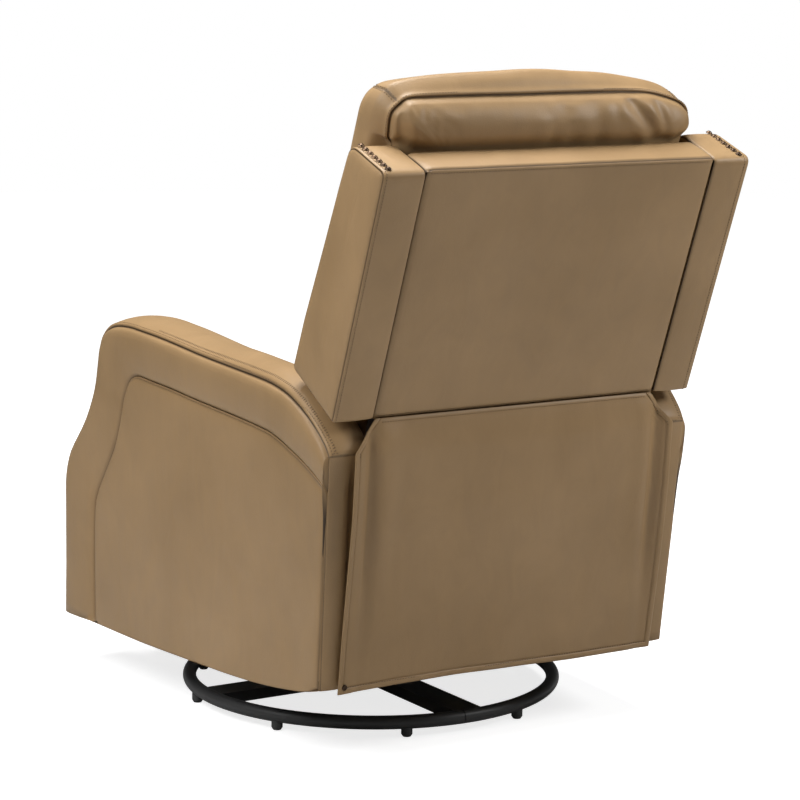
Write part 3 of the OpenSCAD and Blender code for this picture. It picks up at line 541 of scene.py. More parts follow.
def leather_material(name="Aniline leather", shade=1.0):
    material, nodes, links, body = blank_material(name)
    if nodes is None:
        return material
    look = bpy.context.scene.recliner_leather
    flat = mapped(nodes, links, (1, 1, 1))
    streak = mapped(nodes, links, (1, 1, 0.42))
    patches = add(nodes, "ShaderNodeTexNoise", Scale=5.0, Detail=3.5, Roughness=0.5, Distortion=0.4)
    links.new(flat, patches.inputs["Vector"])
    smears = add(nodes, "ShaderNodeTexNoise", Scale=24.0, Detail=4.0, Roughness=0.6, Distortion=1.1)
    links.new(streak, smears.inputs["Vector"])
    light = tuple(c * shade for c in look.light)
    deep = tuple(c * shade for c in look.deep)
    middle = tuple((a * 0.55 + b * 0.45) for a, b in zip(light, deep))
    tone = coloured(nodes, links, patches.outputs["Fac"], [(0.25, deep), (0.75, light), (0.5, middle)])
    rubbed = coloured(nodes, links, smears.outputs["Fac"], [
        (0.3, (0.93, 0.93, 0.93)), (0.72, (1.04, 1.035, 1.02))])
    tone = mixed(nodes, links, 0.8, tone, rubbed, "MULTIPLY")
    # Painted shade: the seam attribute blends the leather towards the near-black seam tone in seams, grooves,
    # recesses and along the arms' rear corners
    seam = nodes.new("ShaderNodeAttribute")
    seam.attribute_name = "seam"
    tone = mixed(nodes, links, seam.outputs["Fac"], tone, tuple(look.seam))
    links.new(tone, body.inputs["Base Color"])
    pebbles = add(nodes, "ShaderNodeTexVoronoi", Scale=620.0, feature="SMOOTH_F1")
    pebbles.inputs["Randomness"].default_value = 1.0
    links.new(flat, pebbles.inputs["Vector"])
    fine = add(nodes, "ShaderNodeTexNoise", Scale=190.0, Detail=5.0, Roughness=0.62)
    links.new(flat, fine.inputs["Vector"])
    soft = add(nodes, "ShaderNodeTexNoise", Scale=17.0, Detail=2.0, Roughness=0.5, Distortion=0.8)
    links.new(streak, soft.inputs["Vector"])
    rough = ranged(nodes, links, smears.outputs["Fac"], look.roughness - 0.08, look.roughness + 0.1)
    links.new(rough, body.inputs["Roughness"])
    body.inputs["Specular IOR Level"].default_value = 0.3
    body.inputs["Coat Weight"].default_value = 0.03
    body.inputs["Coat Roughness"].default_value = 0.32
    normal = bumped(nodes, links, soft.outputs["Fac"], 0.004, 0.22)
    normal = bumped(nodes, links, pebbles.outputs["Distance"], 0.0005, look.grain, normal)
    normal = bumped(nodes, links, fine.outputs["Fac"], 0.0005, look.grain, normal)
    links.new(normal, body.inputs["Normal"])
    return material


def thread_material():
    material, nodes, links, body = blank_material("Sewing thread")
    if nodes is None:
        return material
    ply = add(nodes, "ShaderNodeTexWave", Scale=900.0, Distortion=1.5)
    links.new(mapped(nodes, links, (1, 1, 1)), ply.inputs["Vector"])
    tone = bpy.context.scene.recliner_leather.thread
    colour = coloured(nodes, links, ply.outputs["Fac"], [
        (0.2, tuple(c * 0.7 for c in tone)), (0.8, tuple(min(1, c * 1.25) for c in tone))])
    links.new(colour, body.inputs["Base Color"])
    links.new(bumped(nodes, links, ply.outputs["Fac"], 0.0002, 0.5), body.inputs["Normal"])
    body.inputs["Roughness"].default_value = 0.6
    return material


def metal_material(name, dark, pale, metallic, roughness, peel=0.3, scale=420.0):
    material, nodes, links, body = blank_material(name)
    if nodes is None:
        return material
    space = mapped(nodes, links, (1, 1, 1))
    speck = add(nodes, "ShaderNodeTexNoise", Scale=scale, Detail=4.0, Roughness=0.6)
    wear = add(nodes, "ShaderNodeTexNoise", Scale=18.0, Detail=5.0, Roughness=0.65)
    links.new(space, speck.inputs["Vector"])
    links.new(space, wear.inputs["Vector"])
    worn = wear.outputs["Fac"]
    links.new(coloured(nodes, links, worn, [(0.35, dark), (0.7, pale)]), body.inputs["Base Color"])
    links.new(ranged(nodes, links, worn, roughness - 0.07, roughness + 0.1), body.inputs["Roughness"])
    links.new(bumped(nodes, links, speck.outputs["Fac"], 0.0004, peel), body.inputs["Normal"])
    body.inputs["Metallic"].default_value = metallic
    return material


def bronze_material():
    """Dark bronze of the nails and the snap."""
    return metal_material(
        "Old bronze nail", (0.035, 0.022, 0.014), (0.16, 0.1, 0.06), 0.9, 0.34, 0.5, 900.0)


def wood_material():
    material, nodes, links, body = blank_material("Planed pine")
    if nodes is None:
        return material
    space = mapped(nodes, links, (9, 1.2, 9))
    rings = add(nodes, "ShaderNodeTexWave", Scale=3.0, Distortion=5.0, Detail=3.0, wave_type="RINGS")
    pores = add(nodes, "ShaderNodeTexNoise", Scale=60.0, Detail=5.0, Roughness=0.7)
    links.new(space, rings.inputs["Vector"])
    links.new(space, pores.inputs["Vector"])
    grain = coloured(nodes, links, rings.outputs["Fac"], [
        (0.15, (0.47, 0.29, 0.13)), (0.8, (0.68, 0.49, 0.27))])
    tone = mixed(nodes, links, 0.25, grain, coloured(nodes, links, pores.outputs["Fac"], [
        (0.3, (0.4, 0.27, 0.14)), (0.7, (0.8, 0.66, 0.45))]))
    links.new(tone, body.inputs["Base Color"])
    links.new(bumped(nodes, links, pores.outputs["Fac"], 0.0005, 0.4), body.inputs["Normal"])
    body.inputs["Roughness"].default_value = 0.62
    return material


def rubber_material():
    material, nodes, links, body = blank_material("Moulded rubber")
    if nodes is None:
        return material
    speck = add(nodes, "ShaderNodeTexNoise", Scale=350.0, Detail=4.0)
    links.new(mapped(nodes, links, (1, 1, 1)), speck.inputs["Vector"])
    links.new(coloured(nodes, links, speck.outputs["Fac"], [
        (0.3, (0.012, 0.012, 0.012)), (0.75, (0.035, 0.034, 0.033))]), body.inputs["Base Color"])
    links.new(bumped(nodes, links, speck.outputs["Fac"], 0.0005, 0.4), body.inputs["Normal"])
    body.inputs["Roughness"].default_value = 0.7
    return material


def webbing_material(name="Elastic webbing", dark=(0.02, 0.02, 0.021), pale=(0.07, 0.068, 0.065),
                     scale=320.0):
    material, nodes, links, body = blank_material(name)
    if nodes is None:
        return material
    space = mapped(nodes, links, (1, 1, 1))
    warp = add(nodes, "ShaderNodeTexWave", Scale=scale, Distortion=0.4)
    weft = add(nodes, "ShaderNodeTexWave", Scale=scale * 0.8, Distortion=0.4, bands_direction="Z")
    links.new(space, warp.inputs["Vector"])
    links.new(space, weft.inputs["Vector"])
    weave = mixed(nodes, links, 1.0, warp.outputs["Color"], weft.outputs["Color"], "MULTIPLY")
    links.new(coloured(nodes, links, weave, [(0.1, dark), (0.8, pale)]), body.inputs["Base Color"])
    links.new(bumped(nodes, links, weave, 0.0006, 0.6), body.inputs["Normal"])
    body.inputs["Roughness"].default_value = 0.85
    return material


def liner_material():
    """Black non-woven cloth that closes the arms below."""
    return webbing_material("Dust cover cloth", (0.012, 0.012, 0.012), (0.04, 0.039, 0.037), 700.0)


# Arms

def arm_lines():
    """Edge seam of an arm and the edge of its side panel, point by point beside each other."""
    outer = smooth_curve(ARM_EDGE, 3)
    edge = smooth_curve(PANEL_EDGE, 4)
    top = len(outer)
    foot = Vector(REAR_FOOT)
    rear = [outer[-1].lerp(foot, k / 24) for k in range(1, 25)]
    outer[-2] = outer[-1] + (outer[-2] - outer[-1]).normalized() * 1.7
    rear[0] = outer[-1] + (rear[0] - outer[-1]).normalized() * 1.7
    low = smooth_curve([REAR_FOOT] + FOOT_LINE, 5)[1:-1]
    inner = []
    marks = ((0, 0), (3 * 14, 4 * 13), (top - 1, len(edge) - 1))
    for (a, c), (b, d) in zip(marks, marks[1:]):
        part = even_points(edge[c:d + 1], b - a + 1)
        inner += part if not inner else part[1:]
    end = foot + Vector((-5.0, 0.8))
    inner += [inner[-1].lerp(end, k / 24) for k in range(1, 25)]
    first = Vector(PANEL_EDGE[0])
    for k in range(len(low)):
        x = end.x + (first.x - end.x) * (k + 1) / (len(low) + 1)
        height = nearest_height([foot] + low, x)
        inner.append(Vector((x, height + 0.8 + (first.y - height - 0.8) * ramp((-200 - x) / 108))))
    return outer + rear + low, inner, top, top + len(rear)


def nearest_height(line, x):
    """Height of a line that runs forward, at a place along it."""
    for a, b in zip(line, line[1:]):
        if b.x <= x <= a.x:
            return a.y + (b.y - a.y) * (a.x - x) / max(a.x - b.x, 0.001)
    return line[-1].y


def arm_point(x, y, z):
    """A place on an arm; behind, the arm leans out and back a little towards its top."""
    share = ramp((y - 60) / 330)
    return Vector((x + 0.026 * (z - 310) * share, y + (0.022 * (z - 330)) * share, z)) * MM


def to_line(p, line):
    """Distance of a place from an open line."""
    return min((nearest_on(a, b, p) - p).length for a, b in zip(line, line[1:]))


def toward(ring, core, level):
    """A loop drawn in towards a core line; level 0 leaves it, level 1 lays it on the line."""
    return [p.lerp(nearest_on(*core, p), level) for p in ring]


def turned(p, sign):
    """A place on the side that the sign names."""
    return Vector((sign * p.x, p.y, p.z))


class RECLINER_OT_arms(bpy.types.Operator):
    """Builds both padded arms: crowned top, sewn outer edge, puffed band round the side panel, dust cover"""
    bl_idname = "recliner.arms"
    bl_label = "Arms"

    def execute(self, context):
        outer, inner, top, rear = arm_lines()
        n = len(outer)
        normals = [outward(outer, i) for i in range(n)]
        waves = [noise.noise(Vector((p.x * 0.012, p.y * 0.012, 4.0))) for p in outer]
        run_start, slant_start, slant_count = 36, 50, 122

        def crown(i):
            """How full the padding is at a point of the edge; behind, it leaves room for the wings."""
            if i == 0:
                return 0.1
            if i < top:
                room = 1 - 0.5 * ramp((outer[i].x - 315) / 70)
                rise = 0.25 + 0.75 * ramp(normals[i].y * 1.6)
                return room * rise * (0.7 + 0.3 * ramp((outer[i].x + 60) / 260))
            return 0.12 if i < rear else 0.0

        def drawn(i):
            """How strongly the seam draws the skin in at a point of the edge."""
            if i < top:
                return min(1.0, 0.2 + i / 5)
            return 0.7 if i < rear else 0.0

        def section(shell, share, high, pull, dx, seam):
            """A ring over the arm at a share of its width, from its inner to its outer face."""
            ring = []
            for i, p in enumerate(outer):
                wave = 0.8 * waves[i] * (0.1 < share < 0.9) * (i < top)
                q = p + normals[i] * (crown(i) * high - drawn(i) * pull + wave)
                if top <= i < rear:
                    q.x -= ROOM_LOW * (1 - ramp(share / 0.75)) * ramp((330 - q.y) / 180)
                    beside = (1 - ramp((share - 0.42) / 0.13)) * ramp((i - top) / 2)
                    q.x -= ROOM_BESIDE * beside * ramp((q.y - 210) / 130)
                out = arm_out(p.x)
                ring.append(arm_point(ARM_IN + share * (out - ARM_IN) + dx, q.x, max(q.y, BODY_Z + 0.2)))
            ids = shell.ring(ring, seam)
            # Painted shade at the rear top corner of the edge seam
            if share > 0.1:
                shell.seams[ids[top - 1]] = 0.6
            return ids

        # Share of the width, swell, pull of the seam, sideways shift, darkness of the painted seam shade
        inside = [(0.0, 0, 17, 0.0, 0), (0.0, 0, 12.5, 1.2, 0), (0.0, 0, 7, 2.6, 0), (0.04, 4, 1.5, 1.0, 0)]
        over = [(0.1, 8.5), (0.2, 13.5), (0.34, 17.5), (0.42, 18.6), (0.48, 19.1), (0.55, 19.2),
                (0.65, 18.2), (0.77, 15.4), (0.86, 12), (0.92, 9), (0.965, 6.2)]
        sewn = [(0.99, 3.6, 0, -1.2, 0), (1.0, 1.6, 0.3, -2.2, 0.1), (1.0, 0.3, 0.6, -3.4, 1.0),
                (1.0, -0.4, 1.2, -3.3, 1.0), (1.0, -0.8, 2.2, -1.4, 0.1)]
        profile = inside + [(share, high, 0, 0, 0) for share, high in over] + sewn
        # Share of the way from the edge seam to the panel, puff, darkness of the painted seam shade
        band = [(0.0, 1.0, 0), (0.03, 3.0, 0), (0.08, 4.8, 0), (0.18, 6.2, 0), (0.34, 6.6, 0), (0.52, 6.0, 0),
                (0.7, 4.6, 0), (0.84, 2.6, 0), (0.92, 0.2, 0.0), (0.965, -2.4, 0.25), (1.0, -6.0, 1.0)]
        for side, sign in SIDES:
            shell = Shell()
            rings = []
            for level in (0.9, 0.6, 0.3, 0.12):
                rings.append(shell.ring([arm_point(ARM_IN, q.x, max(q.y, BODY_Z + 0.2))
                                         for q in toward(outer, ARM_CORE, level)]))
            shell.fan(rings[0], arm_point(ARM_IN, 35, 292))
            rings += [section(shell, *values) for values in profile]
            edge = [p - normals[i] * (3.4 * drawn(i)) for i, p in enumerate(outer)]
            for share, puff, seam in band:
                ring = []
                for i in range(n):
                    q = edge[i].lerp(inner[i], share)
                    wide = min(1.0, (edge[i] - inner[i]).length / 45) if i < rear else 0.4
                    rise = puff * wide if puff > 0 else puff * (1 if i < rear else 0.3)
                    rough = noise.noise(Vector((q.x * 0.011, q.y * 0.011, 9.0)))
                    wave = 1.1 * wide * rough * (0 < share < 0.9)
                    corner = 2.6 * ramp((i - top - 1) / 3) * (share > 0.05) if i < rear else 0.0
                    ring.append(arm_point(arm_out(q.x) + rise + wave - corner, q.x, q.y))
                rings.append(shell.ring(ring))
                # Painted shade: along the arm's rear corner the band is darkened nearly to the seam tone
                for i in range(rear):
                    dark = ramp((i - top + 1) / 4) * (share > 0.05)
                    shell.seams[rings[-1][i]] = max(seam, 0.95 * dark)
            # Painted shade: the pocket where the side panel tucks in is given the full seam tone
            pocket = toward(inner, ARM_CORE, 0.03)
            rings.append(shell.ring([arm_point(arm_out(q.x) - 7.4, q.x, q.y) for q in pocket], 1.0))
            shell.stack(rings)
            arm = make_piece(f"Arm_{side}", shell, leather_material(), merge=0.00004, sign=sign)
            arm.data.materials.append(liner_material())
            for face in arm.data.polygons:
                if face.normal.z < -0.9 and face.center.z < (BODY_Z + 40) * MM:
                    face.material_index = 1
            finished(arm, "frame", f"arm_{side}", fill=0.85)

            def on_top(i, inwards, up):
                q = outer[i] + normals[i] * up
                return turned(arm_point(arm_out(q.x) - inwards, q.x, q.y), sign)

            run = [on_top(i, 6.2, 3) for i in range(run_start, top + 1)]
            corner = outer[top - 1]
            across = [turned(arm_point(x, corner.x + 1, corner.y + 4.5), sign)
                      for x in (250, 268, 285, 300, 314)]
            near = even_points([on_top(i, 8.6, 5) for i in range(slant_start, top - 1)], slant_count)
            far = even_points([on_top(i, 13.0, 8) for i in range(slant_start, top - 1)], slant_count)
            slants = [[near[k], far[k].lerp(far[k - 1], 0.45)] for k in range(2, slant_count - 1)]
            stitches = sew(f"Arm_stitches_{side}", [run, across] + slants, [arm])
            finished(stitches, "frame")
        return {"FINISHED"}


class RECLINER_OT_side_panels(bpy.types.Operator):
    """Builds the let-in panel of each arm's outer face, with the piping round it"""
    bl_idname = "recliner.side_panels"
    bl_label = "Side panels"

    def execute(self, context):
        _, inner, _, rear = arm_lines()
        edge = inner[:rear]
        for side, sign in SIDES:
            shell = Shell()
            back = [arm_point(arm_out(q.x) - POCKET + 0.2, q.x, q.y) for q in inner]
            # Painted shade: the panel's tucked-in edge takes the full seam tone
            rings = [shell.ring(back, 1.0)]
            for level in (0.0025, 0.007, 0.013, 0.022, 0.036, 0.058, 0.09, 0.14, 0.21, 0.3, 0.42,
                          0.56, 0.72, 0.9):
                points, seams = [], []
                for q in toward(inner, ARM_CORE, level):
                    gap = to_line(q, edge)
                    puff = 3.2 - 6.6 * math.exp(-gap / 2.3) - 2.2 * math.exp(-gap / 13.0)
                    wave = 1.5 * noise.noise(Vector((q.x * 0.0055, q.y * 0.0055, 2.0)))
                    wave += 0.35 * noise.noise(Vector((q.x * 0.016, q.y * 0.016, 7.0)))
                    points.append(arm_point(arm_out(q.x) + puff + wave * (1 - math.exp(-gap / 20)), q.x, q.y))
                    # Painted shade in the groove round the panel's edge, darkest at the edge
                    seams.append(math.exp(-(gap / 2.2) ** 2))
                ids = shell.ring(points)
                for i, value in zip(ids, seams):
                    shell.seams[i] = value
                rings.append(ids)
            shell.stack(rings)
            middle = arm_point(arm_out(35) + 3.2, 35, 292)
            shell.fan(rings[-1], middle)
            shell.fan(rings[0], middle - Vector((9.0, 0, 0)) * MM)
            panel = make_piece(f"Side_panel_{side}", shell, leather_material(), merge=0.00004, sign=sign)
            finished(panel, "frame", f"side_panel_{side}", fill=0.9)
            line = [turned(arm_point(arm_out(q.x) - 3.0, q.x, q.y), sign)
                    for q in toward(edge[1:-1], ARM_CORE, 0.004)]
            radius = context.scene.recliner_sewing.welt * 0.7
            welt = tube(f"Side_panel_welt_{side}", line, radius, leather_material())
            finished(welt, "frame")
        return {"FINISHED"}


# Back

def wing_depth(s):
    """How far forward a wing reaches at a height along the lean."""
    pts = WING_SHAPE[1:6]
    for (n0, s0), (n1, s1) in zip(pts, pts[1:]):
        if s <= s1:
            return n0 + (n1 - n0) * max(0.0, s - s0) / (s1 - s0)
    return pts[-1][0]


class RECLINER_OT_wings(bpy.types.Operator):
    """Builds the two boxed wings of the back, each with its edge seams and stitching"""
    bl_idname = "recliner.wings"
    bl_label = "Wings"

    def execute(self, context):
        line = rounded(WING_SHAPE, [4, 10, 0, 0, 0, 22, 13], step=8.0)
        line.reverse()
        normals = [outward(line, i) for i in range(len(line))]
        middle = Vector((60, 200))
        if (line[0] - middle).dot(normals[0]) < 0:
            normals = [-v for v in normals]
        inset = [p + v * -2.2 for p, v in zip(line, normals)]
        core = (Vector((62, 70)), Vector((55, 345)))

        for side, sign in SIDES:
            shell = Shell()
            half = PANEL_LEFT if sign > 0 else PANEL_RIGHT
            reach = WING_HALF + (0.0 if sign > 0 else WING_RIGHT_MORE)

            def ring(x, d, seam=0.0, rough=0.0):
                """The outline at a place across the wing, moved outward by d."""
                points = []
                x = half + (x - WING_IN) * (reach - half) / (WING_HALF - WING_IN)
                for i, p in enumerate(line):
                    wave = rough * noise.noise(Vector((p.x * 0.02, p.y * 0.013, x * 0.02 + 3)))
                    q = p + normals[i] * (d + wave)
                    points.append(leaned(x, q.x, q.y))
                return shell.ring(points, seam)

            def cap(x, way, levels):
                """Rings that close a side of the wing: level, puff and darkness of the painted seam shade of
                each.
                """
                rings = []
                for level, puff, seam in levels:
                    points = []
                    for p in toward(inset, core, level):
                        wave = 1.1 * noise.noise(Vector((p.x * 0.012, p.y * 0.009, 5.0))) * ramp(level * 4)
                        points.append(leaned(x + way * (puff + wave), p.x, p.y))
                    rings.append(shell.ring(points, seam))
                return rings

            out_cap = cap(reach, 1, (
                (0.0, -1.2, 0.9), (0.03, 0.4, 0.1), (0.08, 1.6, 0), (0.2, 2.8, 0), (0.4, 3.4, 0),
                (0.65, 3.4, 0), (0.9, 3.3, 0)))
            in_cap = cap(half + 0.6, -1, (
                (0.0, -0.8, 0.9), (0.05, -0.8, 0.2), (0.2, -0.5, 0), (0.5, -0.5, 0), (0.9, -0.5, 0)))
            # Painted shade in the seams at both edges of the band
            band = [
                ring(255.6, -3.6, 0.9), ring(256.4, -1.7, 0.2), ring(258.4, -0.6, 0), ring(262, -0.3, 0, 0.4),
                ring(270, 0.2, 0, 0.8), ring(282, 0.6, 0, 1.0), ring(294, 0.6, 0, 1.0), ring(306, 0.3, 0, 0.8),
                ring(314, 0, 0, 0.4), ring(318.6, -0.3, 0), ring(320.6, -1.1, 0.1), ring(321.2, -2.4, 1.0),
            ]
            rings = list(reversed(in_cap)) + band + out_cap
            shell.stack(rings)
            shell.fan(rings[0], leaned(half + 1.0, 58, 205))
            shell.fan(rings[-1], leaned(reach + 3.3, 58, 205))
            wing = make_piece(f"Wing_{side}", shell, leather_material(), merge=0.00004, sign=sign)
            finished(wing, "back", f"wing_{side}", fill=0.9)
            run = [leaned(sign * WING_SEAM, p.x + v.x * 0.3, p.y + v.y * 0.3)
                   for p, v in zip(line + line[:1], normals + normals[:1])]
            finished(sew(f"Wing_stitches_{side}", [run], [wing]), "back")
        return {"FINISHED"}


class RECLINER_OT_wing_nails(bpy.types.Operator):
    """Sets a row of domed nails with rolled rims along the top of each wing"""
    bl_idname = "recliner.wing_nails"
    bl_label = "Wing nails"

    def execute(self, context):
        bronze = bronze_material()
        # Radius and height of a nail's rings, from its rim to its dome
        profile = [(4.9, 0.0), (5.1, 0.45), (4.7, 0.8), (4.35, 0.75), (4.1, 1.3), (3.4, 2.2), (2.3, 2.9),
                   (1.1, 3.2)]
        shell = Shell()
        for sign in (-1, 1):
            for i in range(NAIL_COUNT):
                n = NAIL_FIRST + i * (NAIL_LAST - NAIL_FIRST) / (NAIL_COUNT - 1)
                rings = []
                for r, h in profile:
                    rings.append(shell.ring([
                        leaned(sign * NAIL_X + r * math.cos(w), n + r * math.sin(w), BACK_LEN + 0.4 + h)
                        for w in turns(18)]))
                shell.stack(rings)
                shell.fan(rings[-1], leaned(sign * NAIL_X, n, BACK_LEN + 3.7))
                shell.fan(rings[0], leaned(sign * NAIL_X, n, BACK_LEN + 0.1))
        nails = make_piece("Wing_nails_domed", shell, bronze, merge=0.0000005)
        finished(nails, "back", "wing_nails", slot="nail_metal")
        return {"FINISHED"}


class RECLINER_OT_back_panel(bpy.types.Operator):
    """Builds the outer back panel with its top leaf and the stitched seam between them"""
    bl_idname = "recliner.back_panel"
    bl_label = "Back panel"

    def execute(self, context):
        face = [Vector((0.6, BACK_LEN * k / 44)) for k in range(45)]
        corner = [Vector((-0.2, 396.5)), Vector((0.2, 399.0))]
        seam_low, seam, seam_high = Vector((1.3, 400.2)), Vector((3.6, 399.6)), Vector((4.2, 401.4))
        leaf = [Vector((4.2 + 55.3 * k / 9, 401.4 + 1.1 * math.sin(math.pi * k / 9))) for k in range(1, 10)]
        back = [Vector(p) for p in (
            (60, 397), (59, 393.4), (40, 393.2), (22.2, 393.0), (22, 300), (22, 150), (22, 1), (12, 0.4))]
        line = face[:-1] + corner + [seam_low, seam, seam_high] + leaf + back
        seams = [0.0] * len(line)
        first = len(face) - 1 + len(corner)
        # Painted shade down in the seam between face and leaf
        seams[first:first + 3] = 0.5, 1.0, 0.3
        leaf_end = first + 12
        rim = (0, 0.7, 2, 5, 10)
        xs = [-PANEL_RIGHT + d for d in rim]
        xs += [10 - PANEL_RIGHT + (PANEL_LEFT + PANEL_RIGHT - 20) * k / 35 for k in range(1, 35)]
        xs += [PANEL_LEFT - d for d in reversed(rim)]
        shell = Shell()
        rings = []
        for x in xs:
            away = max(0.0, (x - PANEL_LEFT if x > 0 else -PANEL_RIGHT - x) + 14) / 14
            pull = 5.0 * away ** 4
            points = []
            for i, q in enumerate(line):
                n_at, s_at = q.x, q.y
                if i < first:
                    rise = math.sin(math.pi * min(1, max(0, s_at / BACK_LEN))) ** 0.5
                    crown = (1 - (x / PANEL_HALF) ** 4) * rise
                    wave = 1.5 * noise.noise(Vector((x * 0.008, s_at * 0.006, 1.0)))
                    wave += 0.5 * noise.noise(Vector((x * 0.02, s_at * 0.011, 6.0)))
                    n_at += pull - 1.2 * crown - wave * min(1, crown * 1.5)
                    tuck = ramp(1 - s_at / 12)
                    n_at += 1.2 * tuck
                    s_at -= 1.4 * tuck
                elif i < leaf_end:
                    s_at -= 4.0 * away ** 3
                    s_at += 0.8 * noise.noise(Vector((x * 0.015, n_at * 0.02, 2.0)))
                points.append(leaned(x, n_at, s_at))
            rings.append(shell.ring(points))
            # Painted shade also along the panel's side edges, where they meet the wings
            for k, i in enumerate(rings[-1]):
                shell.seams[i] = max(seams[k], 0.9 * ramp((away - 0.9) * 10) if k < leaf_end else 0)
        shell.stack(rings)
        shell.fan(rings[0], leaned(-PANEL_RIGHT, 12, 300))
        shell.fan(rings[-1], leaned(PANEL_LEFT, 12, 300))
        panel = make_piece("Back_panel_leather", shell, leather_material())
        finished(panel, "back", "back_panel", fill=0.9)
        runs = [[leaned(-246 + 492 * k / 60, 0.2, 396.0) for k in range(61)],
                [leaned(-246 + 492 * k / 60, 0.2, 5.5) for k in range(61)]]
        finished(sew("Back_panel_stitches", runs, [panel]), "back")
        return {"FINISHED"}


# Cushions

def pressed(piece, frames=None, pressure=None, cap=None, shrink=0.0, stiff=12.0):
    """Fills a sewn cover: its seams hold still while the panels between them swell and settle."""
    padding = bpy.context.scene.recliner_padding
    group = piece.vertex_groups.new(name="held")
    for i, value in enumerate(piece.data.attributes["pin"].data):
        if value.value > 0.5:
            group.add([i], 1.0, "REPLACE")
    rest = [v.co.copy() for v in piece.data.vertices]
    cloth = piece.modifiers.new("Filling", "CLOTH")
    s = cloth.settings
    s.quality = 6
    s.mass = 0.3
    s.air_damping = 3.0
    s.tension_stiffness = s.compression_stiffness = stiff
    s.shear_stiffness = stiff * 0.7
    s.bending_stiffness = 1.2
    s.use_pressure = True
    s.uniform_pressure_force = padding.pressure if pressure is None else pressure
    s.shrink_min = -shrink
    s.effector_weights.gravity = 0
    s.vertex_group_mass = "held"
    s.pin_stiffness = 8.0
    cloth.collision_settings.use_collision = False
    scene = bpy.context.scene
    last = frames or padding.frames
    cloth.point_cache.frame_start = 1
    cloth.point_cache.frame_end = last + 1
    for f in range(1, last + 1):
        scene.frame_set(f)
    bpy.context.view_layer.update()
    shown = piece.evaluated_get(bpy.context.evaluated_depsgraph_get())
    moved = [v.co.copy() for v in shown.data.vertices]
    piece.modifiers.clear()
    piece.vertex_groups.clear()
    scene.frame_set(1)
    limit = padding.swell if cap is None else cap
    for v, a, b in zip(piece.data.vertices, rest, moved):
        step = b - a
        if step.length > limit:
            step *= limit / step.length
        v.co = a + step
    piece.data.update()


def fine_steps(count):
    """Shares from -1 to 1, closer together towards both ends."""
    return [math.sin(math.pi / 2 * (2 * i / count - 1)) for i in range(count + 1)]


def swell(u):
    """How full a cushion is at a share of its half width or half length."""
    return max(0.0, 1 - abs(u) ** CROWN_POWER) ** CROWN_ROUND


def cushion_shell(w, l, up, down, pinch, channels, depth, place, nu=44, nv=52):
    """A sewn cushion: seam all round at height zero, crowned panels above and below it,
    and channels sewn across its upper panel at the listed shares of its half length."""
    us, vs = fine_steps(nu), fine_steps(nv)
    for c in channels:
        k = min(range(1, nv), key=lambda j: abs(vs[j] - c))
        vs[k] = c
    shell = Shell()

    def plan(u, v):
        return (w / 2 * u - pinch * u * abs(u) ** 3 * (1 - v * v),
                l / 2 * v - pinch * v * abs(v) ** 3 * (1 - u * u))

    def height(u, v):
        return swell(u) * swell(v)

    def upper(u, v):
        valley = max([0.0] + [math.exp(-((v - c) / 0.045) ** 2) for c in channels])
        return height(u, v) * (up - depth * valley) * (1 - 0.1 * u * u)

    rows_up, rows_low = [], []
    for j, v in enumerate(vs):
        x_y = [plan(u, v) for u in us]
        row = [place(x, y, upper(u, v)) for (x, y), u in zip(x_y, us)]
        ids = shell.ring(row)
        rows_up.append(ids)
        for i, u in enumerate(us):
            edge = i in (0, nu) or j in (0, nv)
            sewn = any(abs(v - c) < 1e-6 for c in channels)
            if edge or (sewn and 0 < i < nu):
                shell.pins.add(ids[i])
            # Painted shade in the sewn channels and along the edge seam
            if sewn or edge:
                shell.seams[ids[i]] = 0.85
        low = [place(x, y, -down * height(u, v)) for (x, y), u in zip(x_y, us)]
        ids = shell.ring(low)
        rows_low.append(ids)
        # Held points and painted shade along the lower panel's edge seam
        for i, u in enumerate(us):
            if i in (0, nu) or j in (0, nv):
                shell.pins.add(ids[i])
                shell.seams[ids[i]] = 0.85
    shell.stack(rows_up, closed=False)
    shell.stack(rows_low, closed=False)
    rim = [plan(u, -1) for u in us] + [plan(1, v) for v in vs[1:]]
    rim += [plan(u, 1) for u in reversed(us[:-1])] + [plan(-1, v) for v in reversed(vs[1:-1])]
    lines = []
    sewn_us = us[3:-3]
    for c in channels:
        for d in (-5.0, 5.0):
            lines.append([place(x, y + d, upper(u, c) + 3.0)
                          for (x, y), u in zip([plan(u, c) for u in sewn_us], sewn_us)])
    return shell, [place(x, y, 0.0) for x, y in rim], lines


def cushion(context, name, node, body, fill, welt, shell, rim, lines, cap):
    """Fills a cushion's shell, and adds the piping round its rim and the stitches along its channels."""
    piece = make_piece(name, shell, leather_material())
    pressed(piece, cap=cap)
    refine(piece)
    finished(piece, body, node, fill=fill)
    radius = context.scene.recliner_sewing.welt * welt
    finished(tube(name + "_welt", rim, radius, leather_material(), closed=True), body)
    finished(sew(name + "_stitches", lines, [piece]), body)


class RECLINER_OT_seat_cushion(bpy.types.Operator):
    """Builds the seat cushion with its front channel, filled by simulation"""
    bl_idname = "recliner.seat_cushion"
    bl_label = "Seat cushion"

    def execute(self, context):
        share, t = 0.42, 92.0
        shell, rim, lines = cushion_shell(
            478, 640, (1 - share) * t - 7, share * t - 4, 6, [-0.72], 11,
            lambda x, y, z: Vector((x, y - 76, 404 + share * t + z)) * MM)
        cushion(context, "Lower_cushion_leather", "seat_cushion", "seat", 0.75, 1.3, shell, rim, lines, 0.007)
        return {"FINISHED"}


